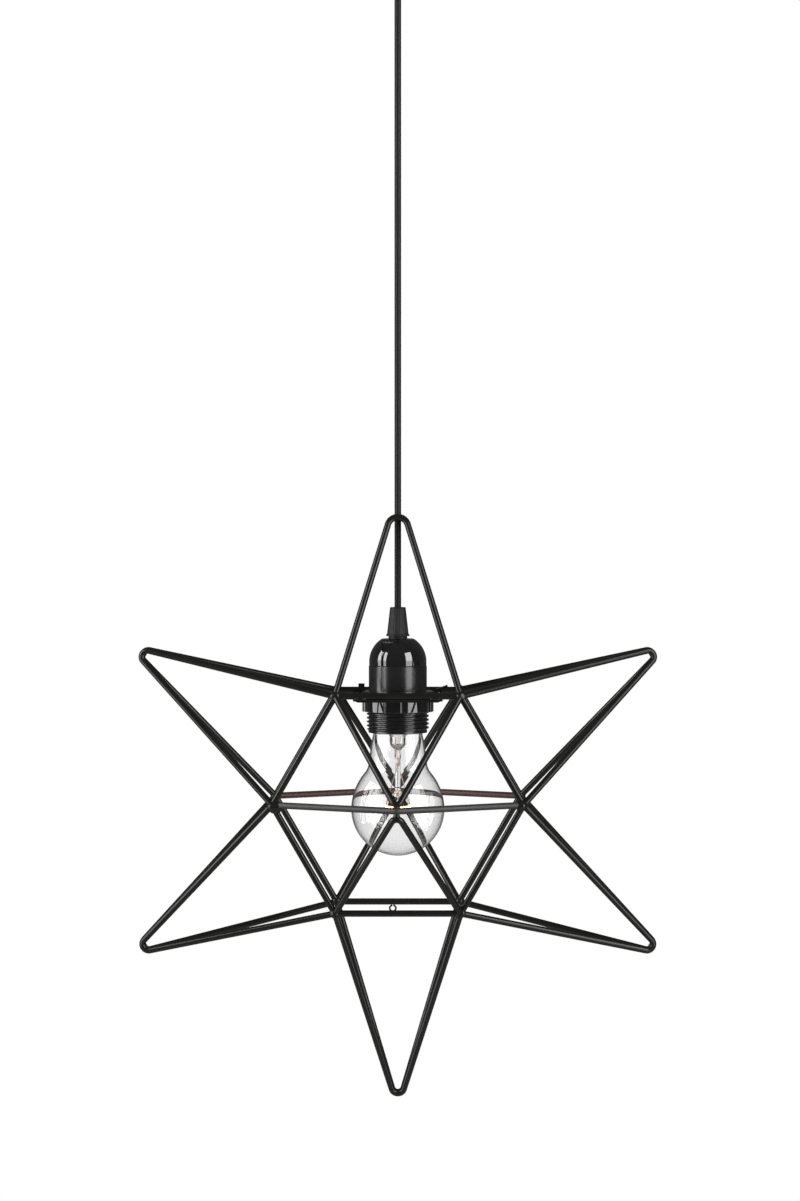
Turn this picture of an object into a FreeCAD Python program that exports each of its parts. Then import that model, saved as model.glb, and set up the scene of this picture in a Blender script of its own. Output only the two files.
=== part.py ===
import FreeCAD, Part
import math
import os
import re
import Sketcher

# Pendant lamp: an open star of welded round bar round a clear bulb, hung on its cord from a ceiling cup.
# The origin is the centre of the ceiling face, +Z is up, +X is the viewer's right and -Y faces the viewer.
# Levels chain down from the ceiling: cup, cord, gland, seat of the socket plate, centre of the star.

Vector = FreeCAD.Vector
UP = Vector(0, 0, 1)

SIZES = {
    # ceiling fitting
    "strap_length": "88",
    "strap_width": "20",
    "strap_thickness": "1.5",
    "slot_spacing": "72",
    "slot_length": "10",
    "slot_width": "4.6",
    "anchor_width": "16",
    "anchor_depth": "14",
    "anchor_height": "20",
    "anchor_window": "5",
    "sheath_entry": "10",
    "screw_head": "4.4",
    "screw_rise": "1.6",
    "terminal_width": "17",
    "terminal_depth": "24",
    "terminal_height": "12.5",
    "terminal_gap": "2.5",
    "cup_diameter": "100",
    "cup_height": "60",
    "cup_wall": "1",
    "cup_corner": "6",
    "grip_diameter": "13",
    "grip_drop": "8",
    "grip_shank": "10",
    "grip_rise": "9",
    "grip_chamfer": "1.2",
    "nut_across": "14",
    "nut_height": "3",
    "clamp_screw": "4",
    # cord
    "cord_diameter": "4.3",
    "cord_drop": "397.3",
    "cord_inside": "28.4",
    "core_diameter": "1.8",
    "core_bend": "3",
    # gland, measured up from the seat of the socket plate
    "gland_rise": "57.4",
    "gland_top": "10.2",
    "gland_foot": "13.8",
    "gland_rim": "15.1",
    "gland_rim_height": "1",
    "gland_taper": "17.5",
    "collet_diameter": "8.4",
    "neck_diameter": "12.1",
    "gland_edge": "0.3",
    "gland_roof": "1.8",
    "collet_gap": "1.8",
    "shank_length": "5.4",
    # cap and skirt of the lamp holder
    "cap_top": "20.8",
    "cap_shoulder": "2.8",
    "cap_arc": "17.4",
    "cap_diameter": "36.9",
    "cap_wall": "1.8",
    "cap_rise": "37.1",
    "spigot_wall": "1.6",
    "skirt_diameter": "37.4",
    "skirt_rise": "19.9",
    "skirt_wall": "1.5",
    "ledge": "0.8",
    "ledge_rise": "6",
    "flange_diameter": "46.2",
    "flange_height": "3.5",
    "flange_edge": "0.8",
    "thread_diameter": "40",
    "thread_length": "21.8",
    "rim_diameter": "37.9",
    "skirt_drop": "23.3",
    # slit and pocket of the cap's release, at the front left
    "release_turn": "34",
    "slit_width": "1",
    "slit_depth": "0.5",
    "slit_foot": "1",
    "recess_drop": "8.4",
    "recess_inset": "1.25",
    "recess_depth": "0.8",
    "recess_height": "8.1",
    "recess_width": "8.6",
    "recess_tilt": "35.5",
    "release_clear": "4",
    # contacts
    "insert_flange": "4",
    "insert_boss": "27",
    "insert_height": "8",
    "shell_bore": "27.2",
    "shell_wall": "0.5",
    "shell_length": "25",
    "shell_lip": "1.4",
    "spring_width": "6",
    "spring_reach": "9",
    "spring_thickness": "0.5",
    "pillar_width": "6",
    "pillar_depth": "7",
    "pillar_height": "6",
    "pillar_spacing": "16",
    "pillar_screw": "3",
    "core_rise": "3.6",
    # shade ring
    "ring_bore": "40.3",
    "ring_root": "43.6",
    "ring_lobe": "46",
    "ring_height": "8.4",
    "lobe_count": "6",
    "lobe_angle": "33",
    "lobe_turn": "22",
    "lobe_edge": "0.6",
    # bulb
    "bulb_length": "106.5",
    "bulb_diameter": "60",
    "bulb_rise": "3.7",
    "glass_wall": "0.8",
    "throat_diameter": "30.6",
    "neck_drop": "34",
    "bulb_neck": "34.4",
    "neck_taper": "7",
    "hollow_radius": "12",
    "shoulder_radius": "36",
    "lamp_cap": "26.4",
    "lamp_cap_wall": "0.4",
    "lamp_cap_height": "22",
    "shoulder_step": "3",
    "shoulder_fall": "1.5",
    "insulator_height": "2.6",
    "contact_diameter": "9.5",
    "contact_height": "1.4",
    "stem_drop": "38",
    "stem_diameter": "10",
    "stem_wall": "0.9",
    "lead_spread": "8.2",
    "lead_splay": "0.8",
    "lead_knee": "4",
    "lead_bend": "2",
    "lead_gap": "0.2",
    "press_depth": "4",
    "rod_diameter": "3.4",
    "button_drop": "66.6",
    "button_diameter": "5.2",
    "lead_diameter": "0.6",
    "filament_drop": "74.6",
    "filament_radius": "8.2",
    "filament_wire": "0.7",
    "filament_sweep": "220",
    "support_wire": "0.4",
    "support_spread": "55",
    "support_knee": "6.6",
    "support_fall": "1",
    "support_bend": "0.8",
    "support_gap": "0.15",
    # star frame
    "bar_diameter": "4",
    "hexagon_radius": "80",
    "hexagon_gap": "66",
    "spoke_reach": "77",
    "spoke_bend": "2.6",
    "point_reach": "191.5",
    "point_bend": "4",
    "top_reach": "184.5",
    "top_bend": "6.6",
    "cord_gap": "0.4",
    "weld_gap": "0.1",
    "plate_width": "57",
    "plate_depth": "68",
    "plate_thickness": "1.2",
    "plate_lip": "1.9",
    "lip_taper": "3",
    "plate_hole": "40.5",
    "lug_place": "23.5",
    "lug_width": "4",
    "lug_height": "7.6",
    "tab_place": "25",
    "tab_foot": "2.6",
    "tab_reach": "32.2",
    "tab_height": "6.4",
    "tab_depth": "7",
    "lug_setback": "12",
    "tab_setback": "15.8",
    "plate_screw_place": "24.4",
    "plate_screw_setback": "9.4",
    "plate_screw_head": "5",
    "plate_screw_rise": "2.4",
    "eyelet_wire": "1.2",
    "eyelet_diameter": "5.2",
    "eyelet_place": "3.3",
    "eyelet_opening": "60",
    # clearances
    "cord_fit": "0.1",
    "shank_fit": "0.1",
    "part_gap": "0.1",
    "contact_gap": "0.15",
}

# Levels and forms that follow from the sizes, as expressions of them.
FORMS = {
    "seat": "-(cup_height + grip_drop + cord_drop + gland_rise)",
    "star": "seat + weld_gap - ring_flat + bar_diameter / 2",
    "ring_flat": "hexagon_radius * cos(30)",
    "gland_foot_rise": "gland_rise - gland_taper",
    "rim_rise": "gland_foot_rise - gland_rim_height",
    "ceiling_inside": "cap_rise - cap_wall",
    "insert_top": "ledge_rise + part_gap + insert_flange",
    "boss_top": "ledge_rise + part_gap + insert_height",
    "skirt_bore": "skirt_diameter - 2 * skirt_wall",
    "mouth_bore": "skirt_bore - 2 * ledge",
    "spigot_diameter": "skirt_bore - 2 * part_gap",
    "spigot_bore": "spigot_diameter - 2 * spigot_wall",
    "cord_bore": "cord_diameter + 2 * cord_fit",
    "anchor_top": "-(strap_thickness + part_gap)",
    "tip": "seat + bulb_rise",
    "cap_foot": "-(contact_height + insulator_height + lamp_cap_height)",
    "globe_centre": "-(bulb_length - bulb_diameter / 2)",
    "ring_top": "-(plate_thickness + part_gap)",
}


def spelled(text):
    """Expression of the sheet's cells for a text in plain size names."""
    def word(match):
        name = match.group(0)
        if name in FORMS:
            return "(" + spelled(FORMS[name]) + ")"
        return "Sizes." + name if name in SIZES else name
    return re.sub(r"[a-z_]+", word, text)


def value(text):
    """Number that a text in plain size names stands for."""
    result = sheet.evalExpression(spelled(text))
    return float(getattr(result, "Value", result))


document = FreeCAD.newDocument("PendantLamp")
sheet = document.addObject("Spreadsheet::Sheet", "Sizes")
for row, (alias, number) in enumerate(SIZES.items(), start=1):
    sheet.set("A%d" % row, number)
    sheet.setAlias("A%d" % row, alias)
document.recompute()

nodes = []


def node(thing, label):
    """Mark an object as a finished sub-part of the lamp."""
    thing.Label = label
    nodes.append(thing)
    return thing


def place(thing, across="0", away="0", level="0", turn=""):
    """Bind an object's place, and its turn where it has one."""
    spot = "vector(%s; %s; %s)" % (spelled(across), spelled(away), spelled(level))
    turned = spelled(turn) if turn else "rotation(vector(0; 0; 1); 0)"
    thing.setExpression("Placement", "placement(%s; %s)" % (spot, turned))
    return thing


def bind(thing, **sizes):
    """Bind an object's own sizes to expressions."""
    for name, text in sizes.items():
        thing.setExpression(name, spelled(text))
    return thing


def new_body(name, level="0", **where):
    return place(document.addObject("PartDesign::Body", name), level=level, **where)


def new_sketch(body, name, role="XZ_Plane"):
    """Sketch on one of the body's own origin planes."""
    sketch = body.newObject("Sketcher::SketchObject", name)
    plane = [feature for feature in body.Origin.OriginFeatures if feature.Role == role][0]
    sketch.AttachmentSupport = (plane, [""])
    sketch.MapMode = "FlatFace"
    return sketch


def limit(sketch, kind, *places, text=None):
    """Add a constraint, with its size bound to an expression."""
    if text is None:
        return sketch.addConstraint(Sketcher.Constraint(kind, *places))
    index = sketch.addConstraint(Sketcher.Constraint(kind, *places, value(text)))
    sketch.setExpression("Constraints[%d]" % index, spelled(text))
    return index


def pin(sketch, edge, end, across, up):
    """Hold the end of an edge at a place, on an axis where the text is 0."""
    if across == "0":
        limit(sketch, "PointOnObject", edge, end, -2)
    else:
        limit(sketch, "DistanceX", -1, 1, edge, end, text=across)
    if up == "0":
        limit(sketch, "PointOnObject", edge, end, -1)
    else:
        limit(sketch, "DistanceY", -1, 1, edge, end, text=up)


def outline(sketch, corners):
    """Closed outline through corners (across, up); (across, up, radius, side) ends an arc.

    Side 1 has the arc's centre on the left of the way round, side -1 on the right.
    """
    spots = [Vector(value(corner[0]), value(corner[1]), 0) for corner in corners]
    ends = []
    for index, corner in enumerate(corners):
        start = spots[index - 1]
        end = spots[index]
        if len(corner) == 2:
            sketch.addGeometry(Part.LineSegment(start, end))
            ends.append((1, 2))
            continue
        radius = value(corner[2])
        side = corner[3]
        half = (end - start) * 0.5
        left = Vector(-half.y, half.x, 0).normalize()
        centre = start + half + left * side * math.sqrt(radius ** 2 - half.Length ** 2)
        first = math.atan2(start.y - centre.y, start.x - centre.x)
        last = math.atan2(end.y - centre.y, end.x - centre.x)
        circle = Part.Circle(centre, UP, radius)
        arc = Part.ArcOfCircle(circle, first, last) if side > 0 else Part.ArcOfCircle(circle, last, first)
        sketch.addGeometry(arc)
        ends.append((1, 2) if side > 0 else (2, 1))
    for index, corner in enumerate(corners):
        follower = (index + 1) % len(corners)
        limit(sketch, "Coincident", index, ends[index][1], follower, ends[follower][0])
        pin(sketch, index, ends[index][1], corner[0], corner[1])
        if len(corner) == 4:
            limit(sketch, "Radius", index, text=corner[2])
    return sketch


def revolve(body, sketch, kind="PartDesign::Revolution"):
    feature = body.newObject(kind, sketch.Name + "_turned")
    feature.Profile = sketch
    feature.ReferenceAxis = (sketch, ["V_Axis"])
    feature.Angle = 360
    return feature


def pad(body, sketch, length, kind="PartDesign::Pad", midplane=False, reverse=False):
    feature = body.newObject(kind, sketch.Name + "_raised")
    feature.Profile = sketch
    feature.Midplane = midplane
    feature.Reversed = reverse
    return bind(feature, Length=length)


def turned(label, corners, level="0"):
    """Sub-part turned about the lamp's axis from one outline."""
    body = new_body(label, level)
    revolve(body, outline(new_sketch(body, label + "_outline"), corners))
    return body


def block(name, width, depth, height, across="0", away="0", level="0"):
    """Box centred on its place, with its top at the level."""
    box = bind(document.addObject("Part::Box", name), Length=width, Width=depth, Height=height)
    corner = ("%s - (%s) / 2" % (across, width), "%s - (%s) / 2" % (away, depth), "%s - (%s)" % (level, height))
    return place(box, *corner)


def drum(name, diameter, height, across="0", away="0", level="0", turn=""):
    """Cylinder that starts at its place."""
    cylinder = bind(document.addObject("Part::Cylinder", name), Radius="(%s) / 2" % diameter, Height=height)
    return place(cylinder, across, away, level, turn)


def cut(name, base, *tools):
    """Base less each of the tools."""
    for index, tool in enumerate(tools):
        result = document.addObject("Part::Cut", "%s_less_%d" % (name, index))
        result.Base = base
        result.Tool = tool
        base = result
    return base


def group(name, things):
    """Several separate solids that share one node."""
    compound = document.addObject("Part::Compound", name)
    compound.Links = things
    return compound


TO_BACK = "rotation(vector(1; 0; 0); -90)"
TO_FRONT = "rotation(vector(1; 0; 0); 90)"
TO_RIGHT = "rotation(vector(0; 1; 0); 90)"
TO_LEFT = "rotation(vector(0; 1; 0); -90)"


def bent_wire(name, points, bend, diameter):
    """Round wire along straight runs, with a tangent arc at each inner point."""
    edges = []
    start = points[0]
    for index in range(1, len(points) - 1):
        corner = points[index]
        back = (points[index - 1] - corner).normalize()
        ahead = (points[index + 1] - corner).normalize()
        half = back.getAngle(ahead) / 2
        leave = corner + back * (bend / math.tan(half))
        join = corner + ahead * (bend / math.tan(half))
        middle = corner + (back + ahead).normalize() * (bend / math.sin(half) - bend)
        edges.append(Part.LineSegment(start, leave).toShape())
        edges.append(Part.Arc(leave, middle, join).toShape())
        start = join
    edges.append(Part.LineSegment(start, points[-1]).toShape())
    path = Part.Wire(edges)
    section = Part.Wire(Part.Circle(points[0], points[1] - points[0], diameter / 2).toShape())
    wire = document.addObject("Part::Feature", name)
    wire.Shape = path.makePipeShell([section], True, False)
    return wire


def ceiling_fitting():
    """Strap screwed to the ceiling, with the cord's anchor and terminals, inside a cup held up by its cord grip."""
    strap = new_body("ceiling_strap")
    half = ("strap_length / 2", "strap_width / 2")
    sketch = outline(new_sketch(strap, "strap_outline", "XY_Plane"), [
        ("-" + half[0], "-" + half[1]), (half[0], "-" + half[1]), half, ("-" + half[0], half[1])])
    pad(strap, sketch, "strap_thickness", reverse=True)
    slots = new_sketch(strap, "strap_slots", "XY_Plane")
    for side in (-1, 1):
        inner = "%d * (slot_spacing - slot_length + slot_width) / 2" % side
        outer = "%d * (slot_spacing + slot_length - slot_width) / 2" % side
        slot_outline(slots, inner, outer, "slot_width / 2", side)
    pad(strap, slots, "2 * strap_thickness", "PartDesign::Pocket")
    node(strap, "ceiling_strap")

    anchor_centre = "anchor_top - anchor_height / 2"
    anchor = block("anchor_block", "anchor_width", "anchor_depth", "anchor_height", level="anchor_top")
    bore = drum("anchor_bore", "cord_bore", "anchor_height + anchor_window / 2",
                level="-sheath_entry - anchor_height")
    window_level = "-(sheath_entry - core_bend - anchor_window / 2 - part_gap)"
    window = block("anchor_window", "anchor_width", "cord_diameter + 2 * cord_fit", "anchor_window",
                   across="anchor_width / 2 - cord_bore / 2", level=window_level)
    node(cut("anchor", anchor, bore, window), "cord_anchor")
    heads = []
    for side in (-1, 1):
        heads.append(drum("anchor_head_%s" % ("left" if side < 0 else "right"), "screw_head", "screw_rise",
                          across="%d * anchor_width / 4" % side, away="-anchor_depth / 2",
                          level=anchor_centre, turn=TO_FRONT))
    node(group("anchor_heads", heads), "anchor_screws")

    terminal_across = "(anchor_width + terminal_width) / 2 + terminal_gap"
    terminal = block("terminal_body", "terminal_width", "terminal_depth", "terminal_height",
                     across=terminal_across, level="anchor_top")
    holes = [drum("terminal_hole_%d" % (count + 2), "pillar_screw", "terminal_height / 2",
                  across=terminal_across, away="%d * terminal_depth / 3" % count,
                  level="anchor_top - terminal_height") for count in (-1, 0, 1)]
    node(cut("terminal", terminal, *holes), "terminal_block")

    core_level = -(value("sheath_entry") - value("core_bend") - value("part_gap"))
    cores = []
    for side in (-1, 1):
        aside = side * value("cord_diameter / 2 - core_diameter / 2 - cord_fit")
        route = [Vector(0, aside, -value("sheath_entry")), Vector(0, aside, core_level),
                 Vector(value("anchor_width / 2 + terminal_gap"), aside, core_level)]
        cores.append(bent_wire("ceiling_core_%s" % ("front" if side < 0 else "back"), route,
                               value("core_bend"), value("core_diameter")))
    node(group("ceiling_core_pair", cores), "ceiling_cores")

    outer = "cup_diameter / 2"
    inner = "cup_diameter / 2 - cup_wall"
    node(turned("ceiling_cup", [
        ("grip_shank / 2 + shank_fit", "-cup_height"),
        (outer + " - cup_corner", "-cup_height"),
        (outer, "-cup_height + cup_corner", "cup_corner", 1),
        (outer, "0"),
        (inner, "0"),
        (inner, "-cup_height + cup_corner"),
        (outer + " - cup_corner", "-cup_height + cup_wall", "cup_corner - cup_wall", -1),
        ("grip_shank / 2 + shank_fit", "-cup_height + cup_wall")]), "ceiling_cup")

    grip = turned("grip_turned", [
        ("cord_bore / 2", "-grip_drop"),
        ("grip_diameter / 2 - grip_chamfer", "-grip_drop"),
        ("grip_diameter / 2", "-grip_drop + grip_chamfer"),
        ("grip_diameter / 2", "0"),
        ("grip_shank / 2", "0"),
        ("grip_shank / 2", "grip_rise"),
        ("cord_bore / 2", "grip_rise")], "-cup_height")
    middle = "-cup_height - grip_drop / 2"
    screw_hole = drum("clamp_hole", "clamp_screw + 2 * part_gap", "grip_diameter",
                      away="0", level=middle, turn=TO_BACK)
    node(cut("grip", grip, screw_hole), "cord_grip")
    node(drum("clamp_screw_body", "clamp_screw", "grip_diameter / 2 - cord_bore / 2",
              away="cord_bore / 2", level=middle, turn=TO_BACK), "grip_screw")
    node(hex_nut("grip_nut_body", "nut_across", "nut_height", "grip_shank + 2 * shank_fit",
                 "-cup_height + cup_wall"), "grip_nut")


def slot_outline(sketch, inner, outer, reach, side):
    """Slot with round ends, along X, between the centres at inner and outer."""
    near = Vector(value(inner), 0, 0)
    far = Vector(value(outer), 0, 0)
    if side < 0:
        inner, outer = outer, inner
        near, far = far, near
    radius = value(reach)
    first = sketch.GeometryCount
    lift = Vector(0, radius, 0)
    sketch.addGeometry(Part.LineSegment(near - lift, far - lift))
    sketch.addGeometry(Part.ArcOfCircle(Part.Circle(far, UP, radius), -math.pi / 2, math.pi / 2))
    sketch.addGeometry(Part.LineSegment(far + lift, near + lift))
    sketch.addGeometry(Part.ArcOfCircle(Part.Circle(near, UP, radius), math.pi / 2, 3 * math.pi / 2))
    limit(sketch, "Tangent", first, 2, first + 1, 1)
    limit(sketch, "Tangent", first + 1, 2, first + 2, 1)
    limit(sketch, "Tangent", first + 2, 2, first + 3, 1)
    limit(sketch, "Tangent", first + 3, 2, first, 1)
    pin(sketch, first + 1, 3, outer, "0")
    pin(sketch, first + 3, 3, inner, "0")
    limit(sketch, "Radius", first + 1, text=reach)


def hex_nut(name, across, height, bore, level):
    """Hexagon nut standing on its level."""
    prism = bind(document.addObject("Part::Prism", name), Circumradius="(%s) / 2 / cos(30)" % across,
                 Height=height)
    prism.Polygon = 6
    place(prism, level=level)
    return cut(name, prism, drum(name + "_bore", bore, "2 * (%s)" % height, level="%s - (%s) / 2" % (level, height)))


def cord():
    """One straight round cord, from its anchor in the cup down through the gland into the cap."""
    length = "-sheath_entry - seat - cord_inside"
    line = node(drum("cord_body", "cord_diameter", length, level="seat + cord_inside"), "cord")
    document.recompute()
    section = math.pi * value("cord_diameter") ** 2 / 4
    print("cord: volume %.1f, section times length %.1f, straight, no arcs"
          % (line.Shape.Volume, section * value(length)))


def gland():
    """Cord gland: tapered nut over the collet of a body whose shank is held in the cap by a lock nut."""
    node(turned("gland_nut", [
        ("cord_bore / 2", "gland_rise"),
        ("gland_top / 2 - gland_edge", "gland_rise"),
        ("gland_top / 2", "gland_rise - gland_edge"),
        ("gland_foot / 2", "gland_foot_rise"),
        ("gland_rim / 2", "gland_foot_rise"),
        ("gland_rim / 2", "rim_rise"),
        ("collet_diameter / 2 + part_gap", "rim_rise"),
        ("collet_diameter / 2 + part_gap", "gland_rise - gland_roof"),
        ("cord_bore / 2", "gland_rise - gland_roof")], "seat"), "gland_nut")
    node(turned("gland_body", [
        ("cord_bore / 2", "cap_rise - shank_length"),
        ("grip_shank / 2", "cap_rise - shank_length"),
        ("grip_shank / 2", "cap_rise"),
        ("neck_diameter / 2", "cap_rise"),
        ("neck_diameter / 2", "rim_rise"),
        ("collet_diameter / 2", "rim_rise"),
        ("collet_diameter / 2", "gland_rise - gland_roof - collet_gap"),
        ("cord_bore / 2", "gland_rise - gland_roof - collet_gap")], "seat"), "gland_body")
    node(hex_nut("gland_locknut_body", "nut_across", "nut_height", "grip_shank + 2 * shank_fit",
                 "seat + ceiling_inside - nut_height"), "gland_locknut")


def release_tool(name, corners, setback, level="0", tilt="0"):
    """Prism that is cut out of the holder at its front left, from a plane set off the axis and tipped back."""
    body = new_body(name, "seat", turn="rotation(vector(0; 0; 1); -release_turn)")
    sketch = outline(new_sketch(body, name + "_outline"), corners)
    bind(sketch, AttachmentOffset="placement(vector(0; %s; %s); rotation(vector(1; 0; 0); -%s))"
         % (level, setback, tilt))
    pad(body, sketch, "release_clear")
    return body


def slit_corners(low, high):
    return [("-slit_width / 2", low), ("slit_width / 2", low), ("slit_width / 2", high), ("-slit_width / 2", high)]


def lamp_holder():
    """Two-part holder: a domed cap over a flanged skirt, which carries the shade ring's thread."""
    cap = turned("cap_turned", [
        ("grip_shank / 2 + shank_fit", "cap_rise"),
        ("grip_shank / 2 + shank_fit", "ceiling_inside"),
        ("cap_top / 2", "ceiling_inside"),
        ("spigot_bore / 2", "skirt_rise + cap_shoulder", "cap_arc - cap_wall", -1),
        ("spigot_bore / 2", "insert_top + part_gap"),
        ("spigot_diameter / 2", "insert_top + part_gap"),
        ("spigot_diameter / 2", "skirt_rise + part_gap"),
        ("cap_diameter / 2", "skirt_rise + part_gap"),
        ("cap_diameter / 2", "skirt_rise + cap_shoulder"),
        ("cap_top / 2", "cap_rise", "cap_arc", 1)], "seat")
    recess_foot = "cap_rise - recess_drop"
    recess_face = "cap_diameter / 2 - recess_inset"
    cap_slit = release_tool("cap_slit", slit_corners("skirt_rise", recess_foot + " + slit_depth"), recess_face)
    recess = release_tool("cap_recess", [
        ("-slit_width / 2", "0"), ("slit_width / 2", "0"),
        ("recess_width / 2", "recess_height"), ("-recess_width / 2", "recess_height")],
        recess_face + " - recess_depth", recess_foot, "recess_tilt")
    node(cut("cap", cap, cap_slit, recess), "holder_cap")

    skirt = turned("skirt_turned", [
        ("mouth_bore / 2", "-skirt_drop"),
        ("rim_diameter / 2 - flange_edge", "-skirt_drop"),
        ("rim_diameter / 2", "-skirt_drop + flange_edge"),
        ("thread_diameter / 2", "-thread_length"),
        ("thread_diameter / 2", "0"),
        ("flange_diameter / 2", "0"),
        ("flange_diameter / 2", "flange_height - flange_edge"),
        ("flange_diameter / 2 - flange_edge", "flange_height", "flange_edge", 1),
        ("skirt_diameter / 2", "flange_height"),
        ("skirt_diameter / 2", "skirt_rise"),
        ("skirt_bore / 2", "skirt_rise"),
        ("skirt_bore / 2", "ledge_rise"),
        ("mouth_bore / 2", "ledge_rise")], "seat")
    skirt_slit = release_tool("skirt_slit", slit_corners("flange_height + slit_foot", "skirt_rise + slit_depth"),
                              "skirt_diameter / 2 - slit_depth")
    node(cut("skirt", skirt, skirt_slit), "holder_skirt")

    node(turned("contact_insert", [
        ("0", "ledge_rise + part_gap"),
        ("skirt_bore / 2 - part_gap", "ledge_rise + part_gap"),
        ("skirt_bore / 2 - part_gap", "insert_top"),
        ("insert_boss / 2", "insert_top"),
        ("insert_boss / 2", "boss_top"),
        ("0", "boss_top")], "seat"), "contact_insert")

    node(turned("screw_shell", [
        ("shell_bore / 2", "ledge_rise - shell_length"),
        ("shell_bore / 2 + shell_wall", "ledge_rise - shell_length"),
        ("shell_bore / 2 + shell_wall", "ledge_rise - shell_wall"),
        ("shell_bore / 2 + shell_lip", "ledge_rise - shell_wall"),
        ("shell_bore / 2 + shell_lip", "ledge_rise"),
        ("shell_bore / 2", "ledge_rise")], "seat"), "screw_shell")

    spring = new_body("centre_contact", "seat")
    high = "ledge_rise"
    low = "bulb_rise + contact_gap + spring_thickness"
    foot = "3 * spring_thickness"
    sketch = outline(new_sketch(spring, "spring_outline"), [
        ("-spring_reach", high + " - spring_thickness"),
        ("-" + foot + " - spring_thickness", high + " - spring_thickness"),
        (foot, low + " - spring_thickness"),
        ("spring_width / 2 + " + foot, low + " - spring_thickness"),
        ("spring_width / 2 + " + foot, low),
        (foot + " + spring_thickness / 2", low),
        ("-" + foot, high),
        ("-spring_reach", high)])
    pad(spring, sketch, "spring_width", midplane=True)
    node(spring, "centre_contact")

    pillars = []
    screws = []
    pillar_top = "seat + boss_top + pillar_height"
    for side in (-1, 1):
        name = "left" if side < 0 else "right"
        middle = "%d * pillar_spacing / 2" % side
        box = block("pillar_box_" + name, "pillar_width", "pillar_depth", "pillar_height",
                    across=middle, level=pillar_top)
        hole = drum("pillar_hole_" + name, "core_diameter + 2 * part_gap", "pillar_height",
                    across=middle, level="seat + boss_top + pillar_height / 3")
        pillars.append(cut("pillar_" + name, box, hole))
        screws.append(drum("pillar_screw_" + name, "pillar_screw", "pillar_screw / 2",
                           across="%s + %d * pillar_width / 2" % (middle, side),
                           level="seat + boss_top + pillar_height / 2",
                           turn=TO_LEFT if side < 0 else TO_RIGHT))
    node(group("pillar_pair", pillars), "terminal_pillars")
    node(group("pillar_screw_pair", screws), "terminal_screws")

    cores = []
    end_level = value("seat + cord_inside")
    bend_level = value("seat + boss_top + pillar_height + core_rise")
    for side in (-1, 1):
        inside = side * value("cord_diameter / 2 - core_diameter / 2 - cord_fit")
        outside = side * value("pillar_spacing / 2")
        route = [Vector(inside, 0, end_level), Vector(inside, 0, end_level - value("core_bend") / 2),
                 Vector(outside, 0, bend_level), Vector(outside, 0, value("seat + boss_top + pillar_height / 2"))]
        cores.append(bent_wire("holder_core_%s" % ("left" if side < 0 else "right"), route,
                               value("core_diameter"), value("core_diameter")))
    node(group("holder_core_pair", cores), "holder_cores")


def shade_ring():
    """Threaded ring with six broad grip lobes, which clamps the socket plate against the flange."""
    body = new_body("shade_ring", "seat")
    root = outline(new_sketch(body, "ring_outline"), [
        ("ring_bore / 2", "ring_top - ring_height"),
        ("ring_root / 2 - lobe_edge", "ring_top - ring_height"),
        ("ring_root / 2", "ring_top - ring_height + lobe_edge"),
        ("ring_root / 2", "ring_top"),
        ("ring_bore / 2", "ring_top")])
    revolve(body, root)
    lobe = outline(new_sketch(body, "lobe_outline"), [
        ("ring_bore / 2 + part_gap", "ring_top - ring_height"),
        ("ring_lobe / 2 - lobe_edge", "ring_top - ring_height"),
        ("ring_lobe / 2", "ring_top - ring_height + lobe_edge"),
        ("ring_lobe / 2", "ring_top - lobe_edge"),
        ("ring_lobe / 2 - lobe_edge", "ring_top"),
        ("ring_bore / 2 + part_gap", "ring_top")])
    bind(lobe, **{"AttachmentOffset": "placement(vector(0; 0; 0); rotation(vector(0; 1; 0); lobe_turn - 90))"})
    first = revolve(body, lobe)
    first.Midplane = True
    bind(first, Angle="lobe_angle")
    axis = [feature for feature in body.Origin.OriginFeatures if feature.Role == "Z_Axis"][0]
    document.recompute()
    pattern = body.newObject("PartDesign::PolarPattern", "lobe_pattern")
    pattern.Originals = [first]
    pattern.Axis = (axis, [""])
    pattern.Angle = 360
    bind(pattern, Occurrences="lobe_count")
    body.Tip = pattern
    node(body, "shade_ring")


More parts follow.
